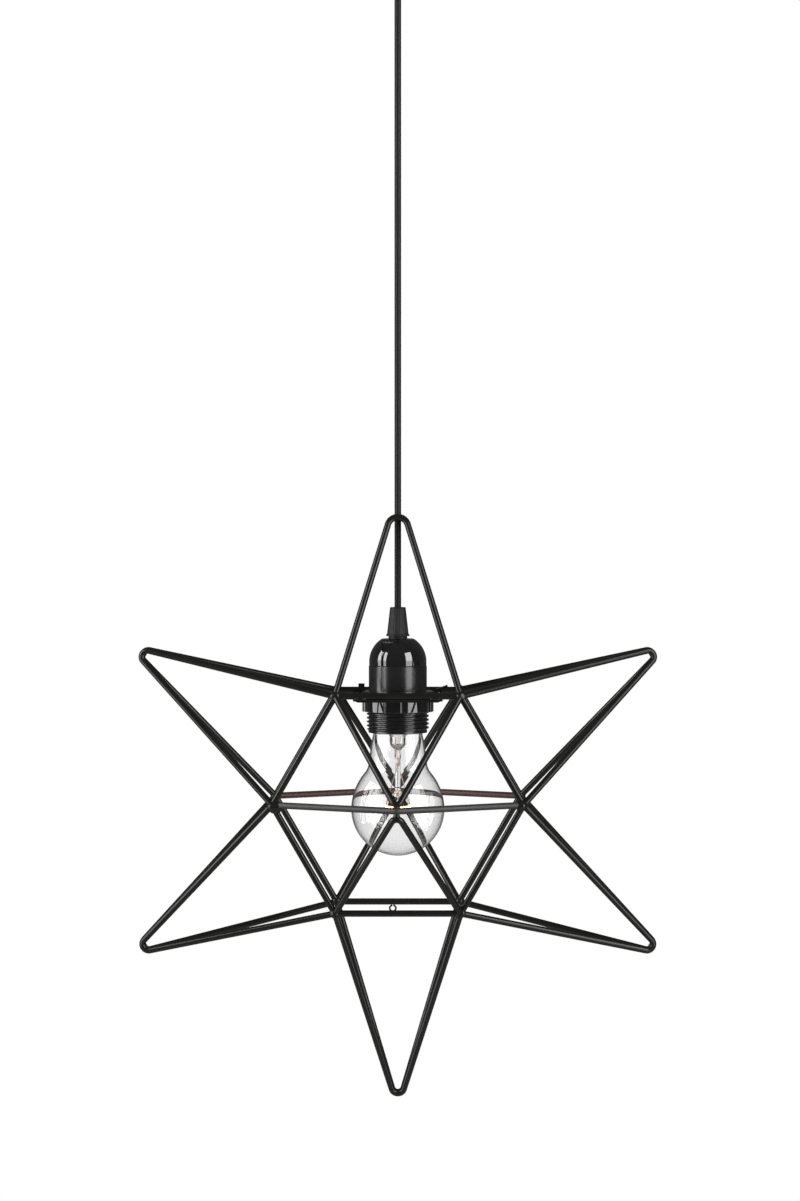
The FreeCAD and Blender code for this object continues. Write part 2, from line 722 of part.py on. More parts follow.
def glass_outline(sketch, inset):
    """Bulb outline, inset from the outer glass: throat, tapered neck, hollow curve, shoulder and round globe.

    The neck line, the hollow curve, the shoulder and the globe each run into the next without a corner.
    """
    wall = value(inset)
    level = value("globe_centre")
    globe = value("bulb_diameter / 2") - wall
    shoulder = value("shoulder_radius") - wall
    hollow = value("hollow_radius") + wall
    taper = math.radians(value("neck_taper"))
    throat = Vector(value("throat_diameter / 2") - wall, value("cap_foot"), 0)
    neck = Vector(value("bulb_neck / 2") - wall, -value("neck_drop"), 0)
    down = Vector(math.sin(taper), -math.cos(taper), 0)
    outward = Vector(math.cos(taper), math.sin(taper), 0)
    centre = Vector(0, level, 0)
    inner = Vector(globe - shoulder, level, 0)
    # The hollow curve's centre lies its radius off the neck line, and both radii off the shoulder's centre.
    start = neck + outward * hollow
    offset = start - inner
    along = offset.dot(down)
    travel = -along - math.sqrt(along ** 2 - offset.dot(offset) + (shoulder + hollow) ** 2)
    outer = start + down * travel
    foot = neck + down * travel
    meet = inner + (outer - inner) * (shoulder / (shoulder + hollow))
    side = Vector(globe, level, 0)
    bottom = Vector(0, level - globe, 0)
    first = math.atan2(meet.y - outer.y, meet.x - outer.x) % (2 * math.pi)
    last = math.atan2(foot.y - outer.y, foot.x - outer.x) % (2 * math.pi)
    lean = math.atan2(meet.y - inner.y, meet.x - inner.x)
    sketch.addGeometry(Part.LineSegment(Vector(0, throat.y, 0), throat))
    sketch.addGeometry(Part.LineSegment(throat, neck))
    sketch.addGeometry(Part.LineSegment(neck, foot))
    sketch.addGeometry(Part.ArcOfCircle(Part.Circle(outer, UP, hollow), last, first))
    sketch.addGeometry(Part.ArcOfCircle(Part.Circle(inner, UP, shoulder), 0, lean))
    sketch.addGeometry(Part.ArcOfCircle(Part.Circle(centre, UP, globe), -math.pi / 2, 0))
    sketch.addGeometry(Part.LineSegment(bottom, Vector(0, throat.y, 0)))
    limit(sketch, "Coincident", 0, 2, 1, 1)
    limit(sketch, "Coincident", 1, 2, 2, 1)
    limit(sketch, "Tangent", 2, 2, 3, 1)
    limit(sketch, "Tangent", 3, 2, 4, 2)
    limit(sketch, "Tangent", 4, 1, 5, 2)
    limit(sketch, "Coincident", 5, 1, 6, 1)
    limit(sketch, "Coincident", 6, 2, 0, 1)
    pin(sketch, 0, 1, "0", "cap_foot")
    pin(sketch, 0, 2, "throat_diameter / 2 - " + inset, "cap_foot")
    pin(sketch, 1, 2, "bulb_neck / 2 - " + inset, "-neck_drop")
    pin(sketch, 5, 3, "0", "globe_centre")
    limit(sketch, "DistanceY", -1, 1, 4, 3, text="globe_centre")
    limit(sketch, "PointOnObject", 5, 1, -2)
    limit(sketch, "Radius", 3, text="hollow_radius + " + inset)
    limit(sketch, "Radius", 4, text="shoulder_radius - " + inset)
    limit(sketch, "Radius", 5, text="bulb_diameter / 2 - " + inset)
    limit(sketch, "Angle", 2, text="neck_taper - 90")
    return sketch


def bulb():
    """Clear lamp: hollow glass on a screw cap, with its stem, button, leads, supports and filament."""
    glass = new_body("bulb_glass", "tip")
    revolve(glass, glass_outline(new_sketch(glass, "glass_outside"), "0"))
    document.recompute()
    full = glass.Shape.Volume
    revolve(glass, glass_outline(new_sketch(glass, "glass_inside"), "glass_wall"), "PartDesign::Groove")
    document.recompute()
    print("bulb glass: %.0f of %.0f mm3 left by the hollow" % (glass.Shape.Volume, full))
    node(glass, "bulb_glass")

    node(turned("bulb_cap", [
        ("lamp_cap / 2 - lamp_cap_wall", "cap_foot + part_gap"),
        ("lamp_cap / 2", "cap_foot + part_gap"),
        ("lamp_cap / 2", "-contact_height - insulator_height - shoulder_fall"),
        ("lamp_cap / 2 - shoulder_step", "-contact_height - insulator_height"),
        ("lamp_cap / 2 - shoulder_step - lamp_cap_wall", "-contact_height - insulator_height"),
        ("lamp_cap / 2 - lamp_cap_wall", "-contact_height - insulator_height - shoulder_fall - lamp_cap_wall")],
        "tip"), "bulb_cap")
    node(turned("cap_insulator", [
        ("0", "-contact_height - insulator_height"),
        ("lamp_cap / 2 - shoulder_step", "-contact_height - insulator_height"),
        ("contact_diameter / 2", "-contact_height"),
        ("0", "-contact_height")], "tip"), "cap_insulator")
    node(turned("cap_contact", [
        ("0", "-contact_height"),
        ("contact_diameter / 2", "-contact_height"),
        ("contact_diameter / 2 - contact_height / 2", "0"),
        ("0", "0")], "tip"), "cap_contact")

    node(turned("bulb_stem", [
        ("throat_diameter / 2 - glass_wall - part_gap", "cap_foot - stem_wall"),
        ("throat_diameter / 2 - glass_wall - part_gap", "cap_foot"),
        ("stem_diameter / 2 - stem_wall", "cap_foot - 2 * stem_wall"),
        ("stem_diameter / 2 - stem_wall", "-stem_drop + 2 * press_depth"),
        ("rod_diameter / 2 + part_gap", "-stem_drop + press_depth"),
        ("rod_diameter / 2 + part_gap", "-stem_drop"),
        ("stem_diameter / 2", "-stem_drop"),
        ("stem_diameter / 2", "cap_foot - 3 * stem_wall")], "tip"), "bulb_stem")
    rod = turned("rod_turned", [
        ("0", "-button_drop - button_diameter / 2"),
        ("button_diameter / 2", "-button_drop", "button_diameter / 2", 1),
        ("rod_diameter / 2", "-button_drop + button_diameter / 2", "button_diameter / 2", 1),
        ("rod_diameter / 2", "-stem_drop + press_depth"),
        ("0", "-stem_drop + press_depth")], "tip")
    node(rod, "stem_rod")

    # The filament is an open arc about the lamp's axis, and its ends stand behind the axis by this angle.
    filament_level = value("tip - filament_drop")
    arc_radius = value("filament_radius")
    sweep = math.radians(value("filament_sweep"))
    end_away = -arc_radius * math.cos(sweep / 2)
    end_level = filament_level + value("filament_wire")
    leads = []
    for side in (-1, 1):
        start = Vector(side * value("lead_spread / 2"), 0, value("tip - stem_drop - lead_gap"))
        knee = start + Vector(side * value("lead_splay"), 0, -value("lead_knee"))
        end = Vector(side * arc_radius * math.sin(sweep / 2), end_away, end_level)
        leads.append(bent_wire("lead_%s" % ("left" if side < 0 else "right"), [start, knee, end],
                               value("lead_bend"), value("lead_diameter")))
    node(group("lead_pair", leads), "lead_wires")

    supports = []
    hub = Vector(0, 0, value("tip - button_drop"))
    for name, side in (("left", -1), ("front", 0), ("right", 1)):
        angle = math.radians(side * value("support_spread") - 90)
        way = Vector(math.cos(angle), math.sin(angle), 0)
        start = hub + way * value("button_diameter / 2 + support_gap")
        knee = hub + way * value("support_knee") - UP * value("support_fall")
        end = Vector(way.x * arc_radius, way.y * arc_radius, end_level)
        supports.append(bent_wire("support_" + name, [start, knee, end], value("support_bend"),
                                  value("support_wire")))
    node(group("support_set", supports), "support_wires")

    coil = document.addObject("Part::Feature", "filament_arc")
    first = -(math.pi + sweep) / 2
    path = Part.ArcOfCircle(Part.Circle(Vector(0, 0, filament_level), UP, arc_radius), first,
                            first + sweep).toShape()
    start = path.valueAt(path.FirstParameter)
    section = Part.Circle(start, path.tangentAt(path.FirstParameter), value("filament_wire / 2")).toShape()
    coil.Shape = Part.Wire(path).makePipeShell([Part.Wire(section)], True, False)
    node(coil, "filament")


def bent_bar(name, half_span, height, bend, place_texts):
    """Round bar bent to a V: legs rise from (-half_span, 0) and (half_span, 0) to a bend whose crest is at height."""
    body = place(document.addObject("PartDesign::Body", name), *place_texts)
    sketch = new_sketch(body, name + "_path")
    reach = value(half_span)
    radius = value(bend)
    middle = Vector(0, value(height) - radius, 0)
    distance = math.hypot(reach, middle.y)
    lean = math.atan2(middle.y, reach) + math.asin(radius / distance)
    leg = math.sqrt(distance ** 2 - radius ** 2)
    left = Vector(-reach + leg * math.cos(lean), leg * math.sin(lean), 0)
    right = Vector(-left.x, left.y, 0)
    first = math.atan2(right.y - middle.y, right.x - middle.x)
    last = math.atan2(left.y - middle.y, left.x - middle.x)
    sketch.addGeometry(Part.LineSegment(Vector(-reach, 0, 0), left))
    sketch.addGeometry(Part.ArcOfCircle(Part.Circle(middle, UP, radius), first, last))
    sketch.addGeometry(Part.LineSegment(right, Vector(reach, 0, 0)))
    limit(sketch, "Tangent", 0, 2, 1, 2)
    limit(sketch, "Tangent", 1, 1, 2, 1)
    pin(sketch, 0, 1, "-(%s)" % half_span, "0")
    pin(sketch, 2, 2, half_span, "0")
    limit(sketch, "PointOnObject", 1, 3, -2)
    limit(sketch, "Radius", 1, text=bend)
    limit(sketch, "DistanceY", -1, 1, 1, 3, text="%s - (%s)" % (height, bend))
    document.recompute()
    return sweep_bar(body, sketch, 3, 0)


def sweep_bar(body, sketch, count, start):
    """Sweep the bar's round section along a sketched path."""
    section = body.newObject("Sketcher::SketchObject", sketch.Name + "_section")
    section.AttachmentSupport = (sketch, ["Edge1"])
    section.MapMode = "NormalToEdge"
    section.MapPathParameter = start
    section.addGeometry(Part.Circle(Vector(0, 0, 0), UP, value("bar_diameter / 2")))
    limit(section, "Coincident", 0, 3, -1, 1)
    limit(section, "Radius", 0, text="bar_diameter / 2")
    document.recompute()
    pipe = body.newObject("PartDesign::AdditivePipe", sketch.Name + "_bar")
    pipe.Profile = section
    pipe.Spine = (sketch, ["Edge%d" % (edge + 1) for edge in range(count)])
    pipe.Transition = "Right corner"
    return body


def star_frame():
    """Two hexagons joined by V's of bar: twelve make the six points, and six make the front and rear pyramids."""
    half_gap = "hexagon_gap / 2"
    turn_tip = "rotation(vector(1; 0; 0); -atan2(%s; %s))"

    hexagon = document.addObject("PartDesign::Body", "hexagon_blank")
    place(hexagon, away="-" + half_gap)
    sketch = new_sketch(hexagon, "hexagon_path")
    corners = [("hexagon_radius * cos(%d)" % angle if angle % 180 != 90 else "0",
                "hexagon_radius * sin(%d)" % angle if angle % 180 else "0") for angle in range(0, 360, 60)]
    outline(sketch, corners)
    document.recompute()
    sweep_bar(hexagon, sketch, 6, 0.5)

    # Blanks for the point that stands up from the front hexagon; the others are the same, turned.
    blanks = {}
    for name, reach, bend, apart in (("point", "point_reach", "point_bend", "weld_gap / 2"),
                                     ("top", "top_reach", "top_bend", "cord_diameter / 2 + cord_gap")):
        rise = "(%s - bar_diameter / 2 - ring_flat)" % reach
        lean = "(%s - bar_diameter / 2 - %s)" % (half_gap, apart)
        height = "sqrt(%s ^ 2 + %s ^ 2)" % (rise, lean)
        blanks[name] = bent_bar(name + "_blank", "hexagon_radius / 2", height, bend,
                                ("0", "-" + half_gap, "ring_flat", turn_tip % (lean, rise)))

    # Blanks of the front pyramid: the upper V stands on the cross V, and the lower one is the upper one turned.
    stack = "(bar_diameter + weld_gap)"
    depth = "(spoke_reach - bar_diameter / 2 - %s)" % half_gap
    fall = "(ring_flat - %s)" % stack
    blanks["upper"] = bent_bar("upper_blank", "hexagon_radius / 2", "sqrt(%s ^ 2 + %s ^ 2)" % (depth, fall),
                               "spoke_bend", ("0", "-" + half_gap, "ring_flat",
                                              "rotation(vector(1; 0; 0); 90 deg + atan2(%s; %s))" % (fall, depth)))
    blanks["cross"] = bent_bar("cross_blank", "hexagon_radius", depth, "spoke_bend",
                               ("0", "-" + half_gap, "0", "rotation(vector(1; 0; 0); 90)"))

    # Each point V is trimmed to its own sixth, so that neighbours meet at a hexagon corner without overlap.
    sixth = place(document.addObject("PartDesign::Body", "sixth_wedge"))
    span = "hexagon_radius + point_reach"
    wedge = outline(new_sketch(sixth, "sixth_outline"), [
        ("0", "0"), ("(%s) * tan(30)" % span, span), ("-(%s) * tan(30)" % span, span)])
    pad(sixth, wedge, "2 * hexagon_gap", midplane=True)
    for name in ("point", "top"):
        common = document.addObject("Part::Common", name + "_trimmed")
        common.Base = blanks[name]
        common.Tool = sixth
        blanks[name] = common

    half_turn = {"front": "0", "rear": "180"}
    placed = "rotation(vector(0; 1; 0); %s) * rotation(vector(0; 0; 1); %s)"
    for side, about in half_turn.items():
        turn = placed % ("0", about)
        node(turned_copy(side + "_hexagon_bar", hexagon, turn), side + "_hexagon")
        for name, blank, round_axis in (("upper", "upper", "0"), ("cross", "cross", "0"), ("lower", "upper", "180")):
            turn = placed % (round_axis, about)
            node(coped(side + "_" + name + "_coped", blanks[blank], hexagon, turn),
                 "%s_%s_spokes" % (side, name))
        for name, angle in (("top", 0), ("upper_right", 60), ("lower_right", 120), ("bottom", 180),
                            ("lower_left", 240), ("upper_left", 300)):
            turn = placed % (str(angle), about)
            blank = blanks["top" if name == "top" else "point"]
            node(coped(side + "_" + name + "_coped", blank, hexagon, turn), "%s_%s_point" % (side, name))


def coped(name, blank, hexagon, turn):
    """Bar cut to fit the hexagon that its ends are welded to, then turned to its place on the star."""
    result = document.addObject("Part::Cut", name)
    result.Base = blank
    result.Tool = hexagon
    return place(result, level="star", turn=turn)


def turned_copy(name, body, turn):
    """The same bar again, turned to its place on the star."""
    result = document.addObject("Part::Compound", name)
    result.Links = [body]
    return place(result, level="star", turn=turn)


def socket_plate():
    """Pressed plate under the two top bars, with turned-down lips, a bent-up lug and a bent tab."""
    plate = new_body("socket_plate_sheet", "seat")
    across = "plate_width / 2"
    away = "plate_depth / 2"
    sketch = outline(new_sketch(plate, "plate_outline", "XY_Plane"), [
        ("-" + across, "-" + away), (across, "-" + away), (across, away), ("-" + across, away)])
    pad(plate, sketch, "plate_thickness", reverse=True)
    lip = outline(new_sketch(plate, "lip_outline"), [
        ("-" + across, "-plate_thickness / 2"), ("-" + across + " + lip_taper", "-plate_lip"),
        (across + " - lip_taper", "-plate_lip"), (across, "-plate_thickness / 2")])
    pad(plate, lip, "plate_depth", midplane=True)
    room = outline(new_sketch(plate, "lip_room", "XY_Plane"), [
        ("-" + across, "-(%s - plate_thickness)" % away), (across, "-(%s - plate_thickness)" % away),
        (across, away + " - plate_thickness"), ("-" + across, away + " - plate_thickness")])
    bind(room, AttachmentOffset="placement(vector(0; 0; -plate_thickness); rotation(vector(0; 0; 1); 0))")
    pad(plate, room, "plate_lip", "PartDesign::Pocket")
    lug = outline(new_sketch(plate, "lug_outline"), [
        ("-lug_place - lug_width / 2", "-plate_thickness / 2"),
        ("-lug_place + lug_width / 2", "-plate_thickness / 2"),
        ("-lug_place + lug_width / 2", "lug_height"),
        ("-lug_place - lug_width / 2", "lug_height")])
    bind(lug, AttachmentOffset="placement(vector(0; 0; -lug_setback); rotation(vector(0; 0; 1); 0))")
    pad(plate, lug, "plate_thickness", midplane=True)
    tab = outline(new_sketch(plate, "tab_outline"), [
        ("tab_place", "-plate_thickness / 2"),
        ("tab_place + plate_thickness", "-plate_thickness / 2"),
        ("tab_place + plate_thickness", "tab_foot"),
        ("tab_reach", "tab_height - plate_thickness"),
        ("tab_reach", "tab_height"),
        ("tab_place", "tab_foot + plate_thickness")])
    bind(tab, AttachmentOffset="placement(vector(0; 0; -tab_setback); rotation(vector(0; 0; 1); 0))")
    pad(plate, tab, "tab_depth", midplane=True)
    hole = new_sketch(plate, "plate_hole", "XY_Plane")
    hole.addGeometry(Part.Circle(Vector(0, 0, 0), UP, value("plate_hole / 2")))
    limit(hole, "Coincident", 0, 3, -1, 1)
    limit(hole, "Radius", 0, text="plate_hole / 2")
    pad(plate, hole, "2 * plate_lip", "PartDesign::Pocket")
    node(plate, "socket_plate")

    dome = "((plate_screw_head ^ 2 / 4 + plate_screw_rise ^ 2) / (2 * plate_screw_rise))"
    screw = bind(document.addObject("Part::Sphere", "plate_screw_dome"),
                 Radius=dome, Angle1="asin(1 - plate_screw_rise / %s)" % dome)
    place(screw, "plate_screw_place", "plate_screw_setback", "seat + plate_screw_rise - " + dome)
    node(screw, "plate_screw")


def eyelet():
    """Small open wire ring for a hanging ornament, welded under the rear bottom bar."""
    body = new_body("ornament_eyelet_wire", "star - ring_flat - bar_diameter / 2",
                    across="-eyelet_place", away="hexagon_gap / 2")
    sketch = new_sketch(body, "eyelet_path")
    radius = "(eyelet_diameter - eyelet_wire) / 2"
    drop = "weld_gap + eyelet_diameter / 2 * cos(eyelet_opening / 2)"
    middle = Vector(0, -value(drop), 0)
    first = math.radians(90 + value("eyelet_opening / 2"))
    last = math.radians(450 - value("eyelet_opening / 2"))
    sketch.addGeometry(Part.ArcOfCircle(Part.Circle(middle, UP, value(radius)), first, last))
    pin(sketch, 0, 3, "0", "-(%s)" % drop)
    limit(sketch, "Radius", 0, text=radius)
    limit(sketch, "DistanceX", 0, 1, 0, 2, text="2 * %s * sin(eyelet_opening / 2)" % radius)
    limit(sketch, "Horizontal", 0, 1, 0, 2)
    document.recompute()
    section = body.newObject("Sketcher::SketchObject", "eyelet_section")
    section.AttachmentSupport = (sketch, ["Edge1"])
    section.MapMode = "NormalToEdge"
    section.MapPathParameter = 0
    section.addGeometry(Part.Circle(Vector(0, 0, 0), UP, value("eyelet_wire / 2")))
    limit(section, "Coincident", 0, 3, -1, 1)
    limit(section, "Radius", 0, text="eyelet_wire / 2")
    document.recompute()
    pipe = body.newObject("PartDesign::AdditivePipe", "eyelet_bar")
    pipe.Profile = section
    pipe.Spine = (sketch, ["Edge1"])
    node(body, "ornament_eyelet")


ceiling_fitting()
cord()
gland()
lamp_holder()
shade_ring()
bulb()
star_frame()
socket_plate()
eyelet()
document.recompute()

faults = []
for thing in document.Objects:
    if "Invalid" in thing.State or "Error" in thing.State:
        faults.append("%s: %s" % (thing.Name, thing.State))
for part in nodes:
    if part.Shape.isNull() or not part.Shape.isValid() or not part.Shape.Solids:
        faults.append("%s has no valid solid" % part.Label)
if faults:
    raise SystemExit("not written: " + "; ".join(faults))

os.makedirs("parts", exist_ok=True)
for part in nodes:
    part.Shape.exportStep("parts/%s.step" % part.Label)
print("%d sub-parts written" % len(nodes))
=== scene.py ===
import bmesh
import bpy
import numpy as np
from math import asin, atan2, cos, hypot, pi, radians, sin, sqrt, tau
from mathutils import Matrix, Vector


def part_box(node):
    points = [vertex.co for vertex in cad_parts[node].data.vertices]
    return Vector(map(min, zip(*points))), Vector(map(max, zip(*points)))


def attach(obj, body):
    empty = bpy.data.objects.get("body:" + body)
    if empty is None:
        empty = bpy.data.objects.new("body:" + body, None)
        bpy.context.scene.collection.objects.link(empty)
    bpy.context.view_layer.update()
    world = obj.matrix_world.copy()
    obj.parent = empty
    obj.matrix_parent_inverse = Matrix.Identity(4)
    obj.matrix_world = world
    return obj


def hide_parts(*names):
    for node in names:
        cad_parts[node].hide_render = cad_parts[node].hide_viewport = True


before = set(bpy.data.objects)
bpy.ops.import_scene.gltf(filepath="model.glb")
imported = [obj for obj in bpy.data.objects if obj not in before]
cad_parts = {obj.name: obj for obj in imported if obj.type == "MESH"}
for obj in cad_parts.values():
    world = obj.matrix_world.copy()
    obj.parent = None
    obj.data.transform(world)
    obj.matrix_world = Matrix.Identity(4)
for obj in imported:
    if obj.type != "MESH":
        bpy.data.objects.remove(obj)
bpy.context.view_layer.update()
scene = bpy.context.scene
scene.view_settings.view_transform = "Standard"

# The star's centre is the middle of its hexagons, read from the frame.
hexagon_low, hexagon_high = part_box("front_hexagon")
star_level = (hexagon_low.z + hexagon_high.z) / 2


# ---------------------------------------------------------------------------------------------- camera
# A long lens, two and a half metres away and a little above the star, tipped down so that the horizon
# crosses the picture above the lamp. The picture is 800 by 1201, and the sensor lies along its height.
CAMERA_DISTANCE = 2.5
CAMERA_RISE = 0.228
CAMERA_ASIDE = 0.0014
CAMERA_TIP = radians(2.27)
CAMERA_LENS = 116.6
SENSOR_HEIGHT = 36

camera_data = bpy.data.cameras.new("camera")
camera_data.sensor_fit = "VERTICAL"
camera_data.sensor_height = SENSOR_HEIGHT
camera_data.lens = CAMERA_LENS
camera = bpy.data.objects.new("camera", camera_data)
camera.location = (CAMERA_ASIDE, -CAMERA_DISTANCE, star_level + CAMERA_RISE)
camera.rotation_euler = (pi / 2 - CAMERA_TIP, 0, 0)
scene.collection.objects.link(camera)
scene.camera = camera


# ------------------------------------------------------------------------------------ light and floor
# Pure white stands behind and under the lamp, for the eye and the glass. Polished black mirrors a dim room
# and two tall soft boxes instead: one before it on the right, one out to the left, each in two parts.
# A side has its name, its degrees round from the camera and its width; a part has its name, how far its
# middle is above the star's, its height and its radiance.
BOX_REACH = 1.25
BOX_SIDES = (("right", 50, 0.76), ("left", -68.5, 0.91))
BOX_PARTS = (("high", 0.63, 0.85, 6.2), ("low", -0.17, 0.75, 3.4))
ROOM_LIGHT = 0.30
ROOM_MIRRORED = 0.07
ROOM_MIRRORED_BEHIND = 0.11
FLOOR_DROP = 0.75
FLOOR_WIDTH = 12


def soft_box(name, angle, width, height, level, strength):
    """Rectangular lamp at an angle round the star from the camera's side, aimed at the star's axis."""
    light = bpy.data.lights.new(name, "AREA")
    light.shape = "RECTANGLE"
    light.size = width
    light.size_y = height
    light.energy = strength * width * height * pi
    box = bpy.data.objects.new(name, light)
    box.location = (BOX_REACH * sin(angle), -BOX_REACH * cos(angle), level)
    box.rotation_euler = (pi / 2, 0, angle)
    scene.collection.objects.link(box)


def seen_directly(tree, rays):
    """Mask of the rays by which the eye sees a thing straight or through glass, from a Light Path node."""
    seen = tree.nodes.new("ShaderNodeMath")
    seen.operation = "MAXIMUM"
    tree.links.new(rays.outputs["Is Camera Ray"], seen.inputs[0])
    tree.links.new(rays.outputs["Is Transmission Ray"], seen.inputs[1])
    return seen.outputs[0]


for side, angle, width in BOX_SIDES:
    for part, rise, height, strength in BOX_PARTS:
        soft_box("box_%s_%s" % (side, part), radians(angle), width, height, star_level + rise, strength)

world = bpy.data.worlds.new("studio")
world.use_nodes = True
scene.world = world
tree = world.node_tree
tree.nodes.clear()
direction = tree.nodes.new("ShaderNodeTexCoord")
split = tree.nodes.new("ShaderNodeSeparateXYZ")
tree.links.new(direction.outputs["Generated"], split.inputs[0])
depth = tree.nodes.new("ShaderNodeMapRange")
depth.interpolation_type = "SMOOTHSTEP"
depth.inputs["From Min"].default_value = 0.85
depth.inputs["From Max"].default_value = 0.98
depth.inputs["To Min"].default_value = ROOM_MIRRORED
depth.inputs["To Max"].default_value = ROOM_MIRRORED_BEHIND
tree.links.new(split.outputs["Y"], depth.inputs["Value"])
rays = tree.nodes.new("ShaderNodeLightPath")
pick_glossy = tree.nodes.new("ShaderNodeMix")
pick_glossy.data_type = "FLOAT"
pick_glossy.inputs[2].default_value = ROOM_LIGHT
tree.links.new(rays.outputs["Is Glossy Ray"], pick_glossy.inputs[0])
tree.links.new(depth.outputs["Result"], pick_glossy.inputs[3])
pick_seen = tree.nodes.new("ShaderNodeMix")
pick_seen.data_type = "FLOAT"
pick_seen.inputs[3].default_value = 1.0
tree.links.new(seen_directly(tree, rays), pick_seen.inputs[0])
tree.links.new(pick_glossy.outputs[0], pick_seen.inputs[2])
sky = tree.nodes.new("ShaderNodeBackground")
sky.inputs["Color"].default_value = (1, 1, 1, 1)
tree.links.new(pick_seen.outputs[0], sky.inputs["Strength"])
out = tree.nodes.new("ShaderNodeOutputWorld")
tree.links.new(sky.outputs[0], out.inputs["Surface"])

bpy.ops.mesh.primitive_plane_add(size=FLOOR_WIDTH, location=(0, 0, star_level - FLOOR_DROP))
floor = bpy.context.object
floor.name = "floor"
paper = bpy.data.materials.new("pale_floor")
paper.use_nodes = True
tree = paper.node_tree
shader = tree.nodes["Principled BSDF"]
shader.inputs["Base Color"].default_value = (0.45, 0.45, 0.445, 1)
shader.inputs["Roughness"].default_value = 0.9
glow = tree.nodes.new("ShaderNodeEmission")
glow.inputs["Color"].default_value = (1, 1, 1, 1)
mix = tree.nodes.new("ShaderNodeMixShader")
tree.links.new(seen_directly(tree, tree.nodes.new("ShaderNodeLightPath")), mix.inputs[0])
tree.links.new(shader.outputs[0], mix.inputs[1])
tree.links.new(glow.outputs[0], mix.inputs[2])
tree.links.new(mix.outputs[0], tree.nodes["Material Output"].inputs["Surface"])
floor.data.materials.append(paper)


# ------------------------------------------------------------------------------------------------ cord
# Round mains cord with a smooth black PVC sheath, pulled straight by the lamp's weight. It runs from its
# anchor in the ceiling cup, down between the bends of the top point, and through the gland into the cap.
CORD_DIAMETER = 0.0043
CORD_TOP = -0.010
LOW_GUIDE_OVER_SEAT = 0.30
HIGH_GUIDE_UNDER_TOP = 0.15
# The seat is where the lamp holder's flange meets the socket plate, this far above the plate's lips.
SEAT_OVER_LIPS = 0.0019
seat_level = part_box("socket_plate")[0].z + SEAT_OVER_LIPS
gland_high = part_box("gland_nut")[1]


def grain_group():
    """Group 'grain': cloudy and fine noise on Object coordinates: a value from Low to High, and a height."""
    group = bpy.data.node_groups.new("grain", "ShaderNodeTree")
    for name, start in (("Cloud Scale", 60.0), ("Fine Scale", 900.0), ("Low", 0.3), ("High", 0.5)):
        group.interface.new_socket(name, in_out="INPUT", socket_type="NodeSocketFloat").default_value = start
    group.interface.new_socket("Value", in_out="OUTPUT", socket_type="NodeSocketFloat")
    group.interface.new_socket("Height", in_out="OUTPUT", socket_type="NodeSocketFloat")
    nodes = group.nodes
    links = group.links
    entry = nodes.new("NodeGroupInput")
    leave = nodes.new("NodeGroupOutput")
    place = nodes.new("ShaderNodeTexCoord")
    cloud = nodes.new("ShaderNodeTexNoise")
    cloud.inputs["Detail"].default_value = 3
    fine = nodes.new("ShaderNodeTexNoise")
    fine.inputs["Detail"].default_value = 2
    links.new(place.outputs["Object"], cloud.inputs["Vector"])
    links.new(place.outputs["Object"], fine.inputs["Vector"])
    links.new(entry.outputs["Cloud Scale"], cloud.inputs["Scale"])
    links.new(entry.outputs["Fine Scale"], fine.inputs["Scale"])
    blend = nodes.new("ShaderNodeMix")
    blend.data_type = "FLOAT"
    blend.inputs[0].default_value = 0.35
    links.new(cloud.outputs[0], blend.inputs[2])
    links.new(fine.outputs[0], blend.inputs[3])
    spread = nodes.new("ShaderNodeMapRange")
    spread.inputs["From Min"].default_value = 0.35
    spread.inputs["From Max"].default_value = 0.65
    links.new(blend.outputs[0], spread.inputs["Value"])
    links.new(entry.outputs["Low"], spread.inputs["To Min"])
    links.new(entry.outputs["High"], spread.inputs["To Max"])
    links.new(spread.outputs["Result"], leave.inputs["Value"])
    links.new(fine.outputs[0], leave.inputs["Height"])
    return group


def dust_group():
    """Group 'dust': a mask of dust that settles in patches on surfaces that face up."""
    group = bpy.data.node_groups.new("dust", "ShaderNodeTree")
    for name, start in (("Scale", 250.0), ("Amount", 0.3)):
        group.interface.new_socket(name, in_out="INPUT", socket_type="NodeSocketFloat").default_value = start
    group.interface.new_socket("Mask", in_out="OUTPUT", socket_type="NodeSocketFloat")
    nodes = group.nodes
    links = group.links
    entry = nodes.new("NodeGroupInput")
    leave = nodes.new("NodeGroupOutput")
    shape = nodes.new("ShaderNodeNewGeometry")
    parts = nodes.new("ShaderNodeSeparateXYZ")
    links.new(shape.outputs["Normal"], parts.inputs[0])
    up = nodes.new("ShaderNodeMapRange")
    up.inputs["From Min"].default_value = 0.2
    links.new(parts.outputs["Z"], up.inputs["Value"])
    place = nodes.new("ShaderNodeTexCoord")
    patch = nodes.new("ShaderNodeTexNoise")
    patch.inputs["Detail"].default_value = 4
    links.new(place.outputs["Object"], patch.inputs["Vector"])
    links.new(entry.outputs["Scale"], patch.inputs["Scale"])
    thin = nodes.new("ShaderNodeMath")
    thin.operation = "MULTIPLY"
    links.new(up.outputs["Result"], thin.inputs[0])
    links.new(patch.outputs[0], thin.inputs[1])
    amount = nodes.new("ShaderNodeMath")
    amount.operation = "MULTIPLY"
    links.new(thin.outputs[0], amount.inputs[0])
    links.new(entry.outputs["Amount"], amount.inputs[1])
    links.new(amount.outputs[0], leave.inputs["Mask"])
    return group


GRAIN = grain_group()
DUST = dust_group()


